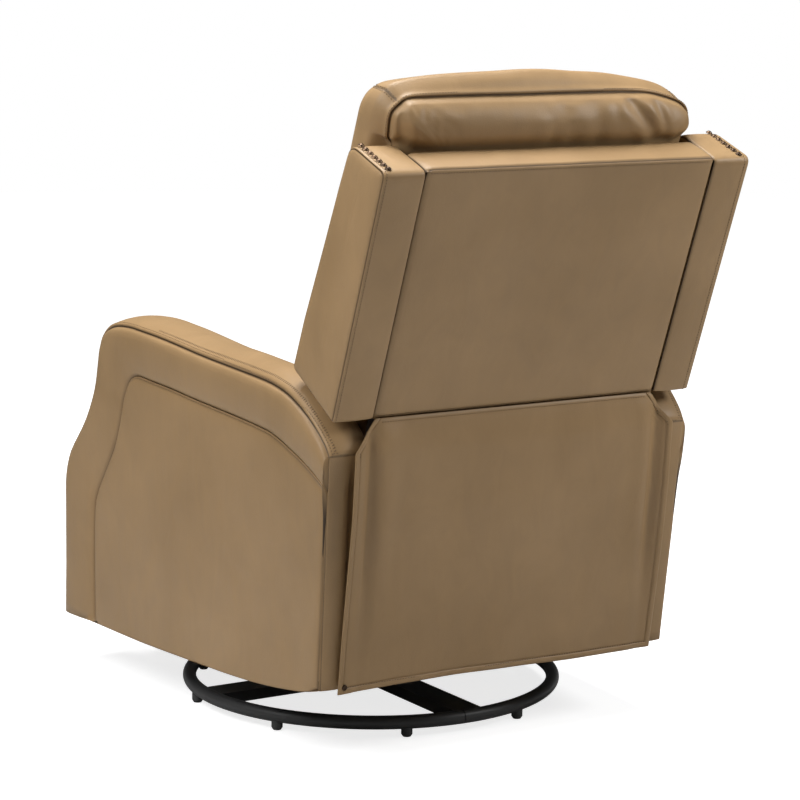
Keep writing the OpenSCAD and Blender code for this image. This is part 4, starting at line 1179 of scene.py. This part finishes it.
class RECLINER_OT_back_cushion(bpy.types.Operator):
    """Builds the back cushion with its lumbar channel, filled by simulation"""
    bl_idname = "recliner.back_cushion"
    bl_label = "Back cushion"

    def execute(self, context):
        share, depth = 0.35, CUSHION_FRONT - CUSHION_BACK
        length = SPLIT + 112 - 0.6
        shell, rim, lines = cushion_shell(
            478, length - 4, (1 - share) * depth - 9, share * depth - 4, 6, [-0.1], 24,
            lambda x, y, z: leaned(x, CUSHION_BACK + share * depth + z, (SPLIT - 112) / 2 + y))
        cushion(context, "Back_cushion_leather", "back_cushion", "back", 0.7, 1.3, shell, rim, lines, 0.009)
        return {"FINISHED"}


class RECLINER_OT_footrest_cushion(bpy.types.Operator):
    """Builds the footrest pad with its middle channel, filled by simulation"""
    bl_idname = "recliner.footrest_cushion"
    bl_label = "Footrest cushion"

    def execute(self, context):
        share, t = 0.3, 48.0
        back = 356.7 + 0.3
        shell, rim, lines = cushion_shell(
            476, 243, (1 - share) * t - 5, share * t - 1, 5, [0.0], 8,
            lambda x, y, z: Vector((x, -(back + share * t + z), 112 + 123 + y)) * MM, nu=40, nv=28)
        cushion(context, "Footrest_cushion_leather", "footrest_cushion", "footrest_pad", 0.75, 1.2,
                shell, rim, lines, 0.005)
        return {"FINISHED"}


# Gathers of the head cushion's rear face: across and up at both ends, width, depth
HEAD_FOLDS = [
    (10, 460, -4, 402, 6.5, 6.0), (-18, 457, -30, 412, 6, 4.2), (-73, 458, -84, 407, 11, 3.4),
    (-139, 462, -202, 400, 9, 7.5), (-188, 460, -214, 403, 6.5, 5.0), (29, 462, 27, 448, 3.5, 2.2),
    (-22, 465, -28, 452, 4, 2.8), (-56, 464, -59, 447, 4, 2.2), (262, 460, 249, 405, 8, 6.0),
    (239, 467, 243, 450, 4, 2.0), (221, 467, 226, 446, 3.5, 1.8), (204, 466, 213, 432, 4, 2.0),
    (182, 466, 191, 428, 5, 2.2), (165, 465, 172, 420, 5, 2.0), (128, 464, 130, 442, 4, 1.6),
    (101, 466, 94, 433, 7, 1.2), (-109, 463, -114, 438, 5, 2.0),
]
# Loops round the head cushion, each from its left side over the top to its right side, across and up
HEAD_LOOPS = {
    100: [(262, 404), (265.5, 427), (266.4, 442), (263.5, 451), (255.4, 459.5), (244, 467.2), (214, 468.5),
          (130, 468.4), (50, 468), (-30, 468.4), (-90, 468.6), (-140, 468), (-183, 465.3), (-223, 456.2),
          (-247, 447.5), (-260, 437), (-267, 420), (-268.5, 404)],
    125: [(281, 404), (282, 427), (280.5, 443), (276, 457), (267, 470), (252, 481), (216, 488.5), (148, 492.5),
          (79, 494.6), (9, 496.4), (-64, 492), (-110, 489), (-160, 481.5), (-205, 472), (-240, 457.5),
          (-264, 441.5), (-280, 421), (-284, 404)],
    150: [(285, 404), (286, 426), (284, 441), (279, 453), (269, 464), (254, 472), (220, 475.5), (150, 478.5),
          (79, 480.5), (9, 482.5), (-66, 480), (-112, 477), (-162, 470), (-207, 461), (-240, 449), (-264, 434),
          (-281, 415), (-286, 400)],
    175: [(268, 404), (269.5, 424), (267, 437), (261, 447.5), (250, 455.5), (234, 460.5), (200, 463.5),
          (130, 466), (70, 467.5), (9, 468.5), (-60, 466.5), (-105, 463.5), (-152, 456.5), (-195, 447),
          (-228, 436), (-250, 423), (-266, 409), (-270, 396)],
    192: [(252, 400), (254, 417), (250, 429), (242, 438), (229, 445), (212, 449), (178, 451.5), (118, 453.5),
          (60, 455), (5, 455.5), (-54, 453.5), (-97, 450.5), (-141, 444), (-181, 435), (-211, 425), (-233, 413),
          (-248, 400), (-253, 390)],
}
HEAD_SEAM_DEPTH = 100.0
HEAD_STEPS = 5


def fold_depth(x, s):
    """How far the gathers draw the rear face in at a place, and how far they push it out beside."""
    out = 0.0
    for x0, s0, x1, s1, width, depth in HEAD_FOLDS:
        dx, dy = x1 - x0, s1 - s0
        along = ((x - x0) * dx + (s - s0) * dy) / (dx * dx + dy * dy)
        k = max(0.0, min(1.0, along))
        gap = math.hypot(x - x0 - k * dx, s - s0 - k * dy) / width
        side = 1 if (x - x0) * dy - (s - s0) * dx > 0 else -1
        beside = 0.45 * math.exp(-(gap + side * 0.2 - 1.9) ** 2 * 1.6)
        out += depth * (math.exp(-gap * gap) - beside) * (1 - 0.35 * k)
    return out


def head_loop(depth, curve=1.0):
    """The loop at a depth, drawn between the nearest two listed loops."""
    keys = sorted(HEAD_LOOPS)
    low = max(k for k in keys if k <= depth)
    high = min(k for k in keys if k >= depth)
    share = 0 if high == low else ((depth - low) / (high - low)) ** curve
    points = [Vector(a).lerp(Vector(b), share) for a, b in zip(HEAD_LOOPS[low], HEAD_LOOPS[high])]
    return smooth_curve(points, HEAD_STEPS)


class RECLINER_OT_head_cushion(bpy.types.Operator):
    """Builds the head cushion: rear face with its gathers, boxing over top and sides, front face"""
    bl_idname = "recliner.head_cushion"
    bl_label = "Head cushion"

    def execute(self, context):
        low_s = SPLIT + 4.0
        side_steps, under_steps = 15, 30
        middle = (Vector((-150, 368)), Vector((150, 368)))

        def closed(points, low, offset=0.0):
            """A loop over the top, moved outward by the offset and closed down its sides and below."""
            n = len(points)
            back = list(reversed(points))
            moved = [p + outward(back, n - 1 - i, False) * offset for i, p in enumerate(points)]
            first, last = moved[0], moved[-1]
            left = [Vector((first.x, low + (first.y - low) * k / side_steps)) for k in range(side_steps)]
            right = [Vector((last.x, last.y - (last.y - low) * k / side_steps))
                     for k in range(1, side_steps + 1)]
            under = [Vector((last.x + (first.x - last.x) * k / under_steps, low))
                     for k in range(1, under_steps)]
            return left + moved + right + under

        def place(p, n):
            """A place on the back, kept between the wings where they stand beside the cushion."""
            room = max(ramp((p.y - 400.8) / 6), ramp((n - wing_depth(p.y) - 2.0) / 16))
            wide = 252.5 + max(0.0, abs(p.x) - 252.5) * room
            return leaned(math.copysign(min(abs(p.x), wide), p.x), n, p.y)

        seam_loop = head_loop(HEAD_SEAM_DEPTH)
        sides = [Vector((seam_loop[0].x, low_s))] + seam_loop + [Vector((seam_loop[-1].x, low_s))]
        shell = Shell()
        rings = []
        base = closed(seam_loop, low_s + 6, -2.2)
        for level in (0.96, 0.86, 0.75, 0.64, 0.54, 0.45, 0.37, 0.3, 0.235, 0.175, 0.125,
                      0.08, 0.045, 0.02, 0.004):
            points = []
            for p in toward(base, middle, level):
                gap = to_line(p, sides)
                round_share = math.sqrt(max(0.0, 1 - (1 - min(1.0, gap / 58)) ** 2))
                fold = fold_depth(p.x, p.y) * ramp(gap / 9) * ramp((p.y - 396) / 10)
                tuck = 9.0 * ramp((421 - p.y) / 22)
                n = 98.6 - 36.5 * round_share + tuck + fold
                points.append(place(p, n if p.y > 403 else max(n, 66)))
            rings.append(shell.ring(points))
        # Rings down into the rear seam: offset, depth forward, and darkness of its painted seam shade
        for offset, n, seam in ((-1.5, 97.9, 0.0), (-0.8, 100.4, 0.7), (0.1, 101.2, 0.85), (1.0, 99.3, 0.0),
                                (2.4, 97.9, 0.0), (4.4, 98.4, 0.0)):
            rings.append(shell.ring([place(p, n) for p in closed(seam_loop, low_s + 4, offset)], seam))
        over_top = slice(side_steps, -side_steps - under_steps)
        seam_line = [place(p, 99.5) for p in closed(seam_loop, low_s, 4.6)[over_top]]
        mitres = [[], []]
        corner = (side_steps + 4 * HEAD_STEPS, side_steps + 14 * HEAD_STEPS)
        for n in (104, 109, 115, 120, 125, 131, 138, 146, 154, 162, 170, 178, 185, 191):
            curve = 0.72 if n < 125 else 1
            points = []
            for i, p in enumerate(closed(head_loop(n, curve), low_s)):
                rough = noise.noise(Vector((p.x * 0.011, p.y * 0.011, n * 0.018)))
                q = p + Vector((0, 1.2 * rough * ramp((n - 104) / 14))) * (p.y > 430)
                if i in corner:
                    q -= Vector((math.copysign(0.8, q.x), 0.8)) * ramp((n - 104) / 6)
                points.append(place(q, n))
            ids = shell.ring(points)
            # Painted shade in the mitred corners of the boxing
            for k, i in enumerate(corner):
                shell.seams[ids[i]] = 0.8
                mitres[k].append(points[i])
            rings.append(ids)
        last = head_loop(191)
        front_line = [place(p, 193.5) for p in closed(last, low_s, 1.0)[over_top]]
        # Rings down into the front seam, with painted seam shade; the darkest are held still
        for offset, n, seam in ((-1.0, 194.0, 0.2), (-3.0, 193.8, 1.0), (-3.8, 194.2, 1.0),
                                (-5.6, 197.4, 0.1)):
            rings.append(shell.ring([place(p, n) for p in closed(last, low_s, offset)], seam, pin=seam > 0.9))
        front = closed(last, low_s, -6.0)
        front_edge = front + [front[0]]
        for level in (0.02, 0.05, 0.09, 0.14, 0.2, 0.27, 0.35, 0.44, 0.54, 0.66, 0.8, 0.92):
            points = []
            for p in toward(front, middle, level):
                gap = min(1.0, to_line(p, front_edge) / 85)
                bulge = 17.0 * (1 - (1 - gap) ** 3)
                wave = 1.2 * noise.noise(Vector((p.x * 0.009, p.y * 0.012, 8.0))) * ramp(gap * 2)
                points.append(place(p, 197.8 + bulge + wave * 0.5))
            rings.append(shell.ring(points))
        shell.stack(rings)
        shell.fan(rings[0], leaned(0, 66.5, 368))
        shell.fan(rings[-1], leaned(0, 215.0, 368))
        head = make_piece("Head_cushion_leather", shell, leather_material())
        pressed(head, frames=8, pressure=1.2, cap=0.003, stiff=25.0)
        refine(head)
        finished(head, "back", "head_cushion", fill=0.75)
        beside = []
        for line, sign in zip(mitres, (1, -1)):
            for shift in (-3.0, 3.0):
                beside.append([p + Vector((sign * shift * 0.7, 0, -shift * 0.7)) * MM for p in line])
        runs = [seam_line, front_line] + beside
        finished(sew("Head_cushion_stitches", runs, [head]), "back")
        return {"FINISHED"}


# Skirt and front rail

# Height, and how far back the skirt hangs there
SKIRT_LINE = [(100, 370), (120, 373), (198, 384), (262, 393), (325, 402), (388, 411), (485, 419.5),
              (522, 417.5), (540, 414)]


def skirt_y(z):
    """How far back the skirt's middle hangs at a height."""
    for (z0, y0), (z1, y1) in zip(SKIRT_LINE, SKIRT_LINE[1:]):
        if z <= z1:
            return y0 + (y1 - y0) * max(0.0, (z - z0) / (z1 - z0))
    return SKIRT_LINE[-1][1]


def arm_back(z):
    """How far back the arms' rear faces stand at a height."""
    top, foot = Vector(ARM_EDGE[-1]), Vector(REAR_FOOT)
    at = foot.lerp(top, (z - foot.y) / (top.y - foot.y))
    return arm_point(300, at.x, z).y / MM


class RECLINER_OT_rear_skirt(bpy.types.Operator):
    """Hangs the loose leather skirt behind the body, with its creases, hems and cut corners"""
    bl_idname = "recliner.rear_skirt"
    bl_label = "Rear skirt"

    def execute(self, context):
        low, top, half, corner, corner_h = 115.0, 535.5, 289.0, 39.0, 48.0
        rows = [low, low + 3, low + 6, low + 7.2, low + 8.4, low + 9.6]
        rows += [low + 13 + (top - corner_h - low - 13) * k / 50 for k in range(51)]
        rows += [top - corner_h + corner_h * k / 8 for k in range(1, 9)]
        side = [0.9, 0.925, 0.95, 0.96, 0.967, 0.9705, 0.974, 0.978, 0.985, 0.993, 1]
        us = [-u for u in reversed(side)] + [-0.88 + 1.76 * k / 64 for k in range(65)] + side

        def reach(z):
            """Half width at a height, less at the cut corners above."""
            return half - corner * max(0.0, (z - top + corner_h) / corner_h)

        def depth(x, z):
            """How far the leather stands out behind its hanging line."""
            share = (z - low) / (top - low)
            in_left, in_right = half - x, half + x
            d = 1.6 + 1.3 * noise.noise(Vector((x * 0.006, z * 0.005, 3.0)))
            # Creases that run down beside the two edges
            strong = ramp(share * 1.7 - 0.15)
            d -= 9.5 * math.exp(-((in_left - 33 - 5 * (1 - share)) / 10) ** 2) * (0.25 + 0.75 * strong)
            d += 3.6 * math.exp(-((in_left - 60) / 17) ** 2) * strong
            strong = ramp(share * 2.4 - 0.35)
            d -= 9.0 * math.exp(-((in_right - 25) / 10) ** 2) * (0.2 + 0.8 * strong)
            d += 3.2 * math.exp(-((in_right - 50) / 15) ** 2) * strong
            lip = math.exp(-(in_left / 19) ** 2) + math.exp(-(in_right / 14) ** 2)
            d += 3.4 * lip * (0.35 + 0.65 * ramp(share * 2))
            # Soft pulls in the leather's middle
            d += 1.7 * math.sin(x * 0.019 + share * 2.4) * math.sin(math.pi * share) ** 1.2
            d += 0.9 * math.sin(x * 0.047 + z * 0.011) * (1 - share)
            d *= ramp((top - z) / 36) * 0.9 + 0.1
            return max(d, arm_back(z) + 0.9 - skirt_y(z), 0.3 if abs(x) < 240 else -9)

        shell = Shell()
        grid = []
        for z in rows:
            points = []
            for u in us:
                x = u * reach(z)
                dip = 2.0 * math.sin(x * 0.012 + 0.5) * ramp((low + 60 - z) / 60)
                edge = min(reach(z) - abs(x), z - low, (top - z) * 1.4 + 2)
                fold = 1.7 * (1 - ramp((edge - 6.4) / 1.8)) - 0.7 * math.exp(-((edge - 8.6) / 1.0) ** 2)
                points.append(Vector((x, skirt_y(z) + 1.0 + depth(x, z) + fold, z + dip + 1.2)) * MM)
            grid.append(shell.ring(points))
        shell.stack(grid, closed=False)
        skirt = make_piece("Rear_skirt_leather", shell, leather_material("Aniline leather, loose"))
        if skirt.data.polygons[10].normal.y < 0:
            skirt.data.flip_normals()
        thick = skirt.modifiers.new("Leather thickness", "SOLIDIFY")
        thick.thickness = 0.0016
        thick.offset = 1.0
        keep_modifiers(skirt)
        hem = 7.0

        def line_at(x_of, z_of):
            """A line of sewing on the skirt, from t = 0 to t = 1."""
            out = []
            for k in range(60):
                t = k / 59
                z = z_of(t)
                x = x_of(t, z)
                out.append(Vector((x, skirt_y(z) + 3.0 + depth(x, z), z + 1.2)) * MM)
            return out

        runs = [
            line_at(lambda t, z: (reach(z) - hem), lambda t: low + 8 + (top - low - 12) * t),
            line_at(lambda t, z: -(reach(z) - hem), lambda t: low + 8 + (top - low - 12) * t),
            line_at(lambda t, z: -half + hem + 2 * (half - hem) * t, lambda t: low + 8),
            line_at(lambda t, z: -240 + 480 * t, lambda t: top - 6),
        ]
        stitches = sew("Rear_skirt_stitches", runs, [skirt])
        start, end = (0, 0, 0.36), (0, 0, 0.5335)
        for piece in (skirt, stitches):
            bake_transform(piece)
            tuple(start)
            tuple(end)
        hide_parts("rear_skirt")
        snap = Shell()
        x, z = 278, low + 10
        y = skirt_y(z) + 4.5 + depth(x, z)
        rings = [snap.ring([Vector((x + r * math.cos(w), y + h, z + r * math.sin(w))) * MM
                            for w in turns(20)])
                 for r, h in ((4.6, -2.0), (4.6, 0.0), (4.0, 0.8), (2.6, 1.0), (1.8, 0.6))]
        snap.stack(rings)
        snap.fan(rings[0], Vector((x, y - 2, z)) * MM)
        snap.fan(rings[-1], Vector((x, y + 0.6, z)) * MM)
        stud = make_piece("Skirt_snap", snap, bronze_material(), merge=0.0000005)
        finished(stud, "frame", slot="nail_metal")
        return {"FINISHED"}


class RECLINER_OT_front_rail(bpy.types.Operator):
    """Covers the seat's front rail with leather pulled over its edges"""
    bl_idname = "recliner.front_rail"
    bl_label = "Front rail"

    def execute(self, context):
        box = rounded([(-392, 364.7), (-392, 400.7), (-374, 400.7), (-374, 364.7)], [6, 6, 3, 3], step=5.0)
        shell = Shell()
        rings = []
        half, centre = 203.8, Vector((-383, 382.7))
        xs = [-half, -202.6, -199] + [-199 + 398 * k / 40 for k in range(1, 40)] + [199, 202.6, half]
        for x in xs:
            pull = 3.0 * ramp((abs(x) - 197) / 7)
            points = []
            for p in box:
                q = p + (centre - p).normalized() * pull
                q.x -= 0.8 * noise.noise(Vector((x * 0.02, p.y * 0.02, 1.0))) * (p.x < -388)
                points.append(Vector((x, q.x, q.y)) * MM)
            rings.append(shell.ring(points))
        shell.stack(rings)
        shell.fan(rings[0], Vector((-half, *centre)) * MM)
        shell.fan(rings[-1], Vector((half, *centre)) * MM)
        rail = make_piece("Front_rail_leather", shell, leather_material())
        finished(rail, "seat", "seat_rail_front", fill=0.95)
        runs = [[Vector((-198 + 396 * k / 50, -392.4, 370.5)) * MM for k in range(51)]]
        finished(sew("Front_rail_stitches", runs, [rail]), "seat")
        return {"FINISHED"}


# Frame, mechanism and base

class RECLINER_OT_hardware(bpy.types.Operator):
    """Gives the steel, zinc, wood, rubber and webbing of the frame their finishes"""
    bl_idname = "recliner.hardware"
    bl_label = "Hardware"

    def execute(self, context):
        base = metal_material(
            "Black powder coat", (0.008, 0.008, 0.009), (0.02, 0.02, 0.021), 0.0, 0.3, 0.16, 520.0)
        link = metal_material(
            "Black pressed steel", (0.014, 0.014, 0.015), (0.04, 0.04, 0.042), 0.35, 0.42, 0.25)
        zinc = metal_material("Zinc plate", (0.42, 0.43, 0.45), (0.66, 0.66, 0.64), 1.0, 0.32, 0.12, 260.0)
        finishes = {
            "base_metal": base, "link_metal": link, "zinc": zinc, "wood": wood_material(),
            "rubber": rubber_material(), "webbing": webbing_material(),
        }
        slots = slots_of(frame["record"])
        for name, piece in frame["nodes"].items():
            finish = finishes.get(slots.get(name))
            if finish is None:
                continue
            for place in piece.material_slots:
                place.material = finish
            if not piece.material_slots:
                piece.data.materials.append(finish)
        return {"FINISHED"}


class RECLINER_OT_rocker_springs(bpy.types.Operator):
    """Makes the rocker springs, which stand between rocker plate and cradle rails, a piece of their own, copied
    from the frame's part
    """
    bl_idname = "recliner.rocker_springs"
    bl_label = "Rocker springs"

    def execute(self, context):
        solid = frame["nodes"]["rock_springs"]
        coils = solid.data.copy()
        coils.transform(solid.matrix_world)
        piece = bpy.data.objects.new("Rocker_springs_coils", coils)
        context.scene.collection.objects.link(piece)
        finished(piece, None, "rock_springs", slot="zinc")
        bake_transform(piece)
        return {"FINISHED"}


def slots_of(record):
    """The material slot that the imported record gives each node."""
    return {part.get("node") or part.get("name"): part.get("slot") or part.get("material")
            for part in record["subparts"]}


# Stage

class RECLINER_OT_stage(bpy.types.Operator):
    """Sets the camera, the pale floor, the even sky and the soft lamps"""
    bl_idname = "recliner.stage"
    bl_label = "Stage"

    def execute(self, context):
        scene = context.scene
        look = scene.recliner_stage
        psi, pitch, roll = (math.radians(angle) for angle in CAMERA_TURN)
        flat = math.cos(pitch)
        forward = Vector((-math.sin(psi) * flat, -math.cos(psi) * flat, -math.sin(pitch)))
        right = Vector((-math.cos(psi), math.sin(psi), 0))
        up = right.cross(forward)
        side = right * math.cos(roll) + up * math.sin(roll)
        top = -right * math.sin(roll) + up * math.cos(roll)
        data = bpy.data.cameras.new("Camera")
        data.sensor_fit = "HORIZONTAL"
        data.sensor_width = 36
        data.lens = look.focal
        data.clip_start, data.clip_end = 0.1, 60
        camera = bpy.data.objects.new("Camera", data)
        scene.collection.objects.link(camera)
        turn = Matrix((side, top, -forward)).transposed().to_4x4()
        camera.matrix_world = Matrix.Translation(CAMERA_AT) @ turn
        scene.camera = camera

        floor_mesh = bpy.data.meshes.new("Floor")
        work = bmesh.new()
        bmesh.ops.create_circle(work, cap_ends=True, segments=96, radius=9.0)
        work.to_mesh(floor_mesh)
        work.free()
        floor = bpy.data.objects.new("Floor", floor_mesh)
        floor.location.z = -0.0004
        scene.collection.objects.link(floor)
        floor_mesh.materials.append(self.floor_material())

        self.sky(scene, look.sky)
        for name, place, size, setting, share in LAMPS:
            lamp = bpy.data.lights.new(name, "AREA")
            lamp.shape = "DISK"
            lamp.size = size
            lamp.energy = getattr(look, setting) * share
            lamp_object = bpy.data.objects.new(name, lamp)
            lamp_object.location = place
            lamp_object.rotation_euler = (LIT_AT - Vector(place)).to_track_quat("-Z", "Y").to_euler()
            scene.collection.objects.link(lamp_object)
        scene.view_settings.view_transform = "Standard"
        return {"FINISHED"}

    def floor_material(self):
        """Grey for the lamps, but pale to the camera, and white away from the chair."""
        material, nodes, links, body = blank_material("Pale floor")
        body.inputs["Base Color"].default_value = (0.62, 0.62, 0.62, 1)
        body.inputs["Roughness"].default_value = 0.75
        body.inputs["Specular IOR Level"].default_value = 0.1
        glow = nodes.new("ShaderNodeEmission")
        path = nodes.new("ShaderNodeLightPath")
        length = nodes.new("ShaderNodeVectorMath")
        length.operation = "LENGTH"
        links.new(mapped(nodes, links, (1, 1, 1)), length.inputs[0])
        reach = nodes.new("ShaderNodeMapRange")
        reach.inputs["From Min"].default_value = 0.75
        reach.inputs["From Max"].default_value = 1.8
        reach.inputs["To Min"].default_value = 0.78
        reach.inputs["To Max"].default_value = 1.0
        links.new(length.outputs["Value"], reach.inputs["Value"])
        share = nodes.new("ShaderNodeMath")
        share.operation = "MULTIPLY"
        both = nodes.new("ShaderNodeAddShader")
        links.new(path.outputs["Is Camera Ray"], share.inputs[0])
        links.new(reach.outputs["Result"], share.inputs[1])
        links.new(share.outputs[0], glow.inputs["Strength"])
        links.new(body.outputs[0], both.inputs[0])
        links.new(glow.outputs[0], both.inputs[1])
        links.new(both.outputs[0], nodes["Material Output"].inputs["Surface"])
        return material

    def sky(self, scene, strength):
        """An even light all round that the camera sees as white."""
        world = bpy.data.worlds.new("Even sky")
        world.use_nodes = True
        nodes, links = world.node_tree.nodes, world.node_tree.links
        shade = nodes["Background"]
        shade.inputs["Color"].default_value = (1, 1, 1, 1)
        shade.inputs["Strength"].default_value = strength
        white = nodes.new("ShaderNodeBackground")
        white.inputs["Strength"].default_value = 1.0
        white.inputs["Color"].default_value = (1, 1, 1, 1)
        path = nodes.new("ShaderNodeLightPath")
        mix = nodes.new("ShaderNodeMixShader")
        links.new(path.outputs["Is Camera Ray"], mix.inputs[0])
        links.new(shade.outputs[0], mix.inputs[1])
        links.new(white.outputs[0], mix.inputs[2])
        links.new(mix.outputs[0], nodes["World Output"].inputs["Surface"])
        scene.world = world


OPERATORS = (
    RECLINER_OT_stage, RECLINER_OT_arms, RECLINER_OT_side_panels, RECLINER_OT_wings, RECLINER_OT_wing_nails,
    RECLINER_OT_back_panel, RECLINER_OT_head_cushion, RECLINER_OT_back_cushion, RECLINER_OT_seat_cushion,
    RECLINER_OT_footrest_cushion, RECLINER_OT_rear_skirt, RECLINER_OT_front_rail, RECLINER_OT_hardware,
    RECLINER_OT_rocker_springs,
)


class RECLINER_PT_panel(bpy.types.Panel):
    bl_idname = "RECLINER_PT_panel"
    bl_label = "Recliner"
    bl_space_type = "VIEW_3D"
    bl_region_type = "UI"
    bl_category = "Recliner"

    def draw(self, context):
        for key in SETTINGS:
            group = getattr(context.scene, key)
            box = self.layout.box()
            for name in group.bl_rna.properties.keys():
                if name not in ("rna_type", "name"):
                    box.prop(group, name)
        for operator in OPERATORS:
            self.layout.operator(operator.bl_idname)


def register():
    for group in SETTINGS.values():
        bpy.utils.register_class(group)
    for key, group in SETTINGS.items():
        setattr(bpy.types.Scene, key, PointerProperty(type=group))
    for operator in OPERATORS:
        bpy.utils.register_class(operator)
    bpy.utils.register_class(RECLINER_PT_panel)


def unregister():
    bpy.utils.unregister_class(RECLINER_PT_panel)
    for operator in reversed(OPERATORS):
        bpy.utils.unregister_class(operator)
    for key in SETTINGS:
        delattr(bpy.types.Scene, key)
    for group in SETTINGS.values():
        bpy.utils.unregister_class(group)


def main():
    register()
    bpy.ops.recliner.stage()
    bpy.ops.recliner.arms()
    bpy.ops.recliner.side_panels()
    bpy.ops.recliner.wings()
    bpy.ops.recliner.wing_nails()
    bpy.ops.recliner.back_panel()
    bpy.ops.recliner.head_cushion()
    bpy.ops.recliner.back_cushion()
    bpy.ops.recliner.seat_cushion()
    bpy.ops.recliner.footrest_cushion()
    bpy.ops.recliner.rear_skirt()
    bpy.ops.recliner.front_rail()
    bpy.ops.recliner.hardware()
    bpy.ops.recliner.rocker_springs()


if __name__ == "__main__":
    main()
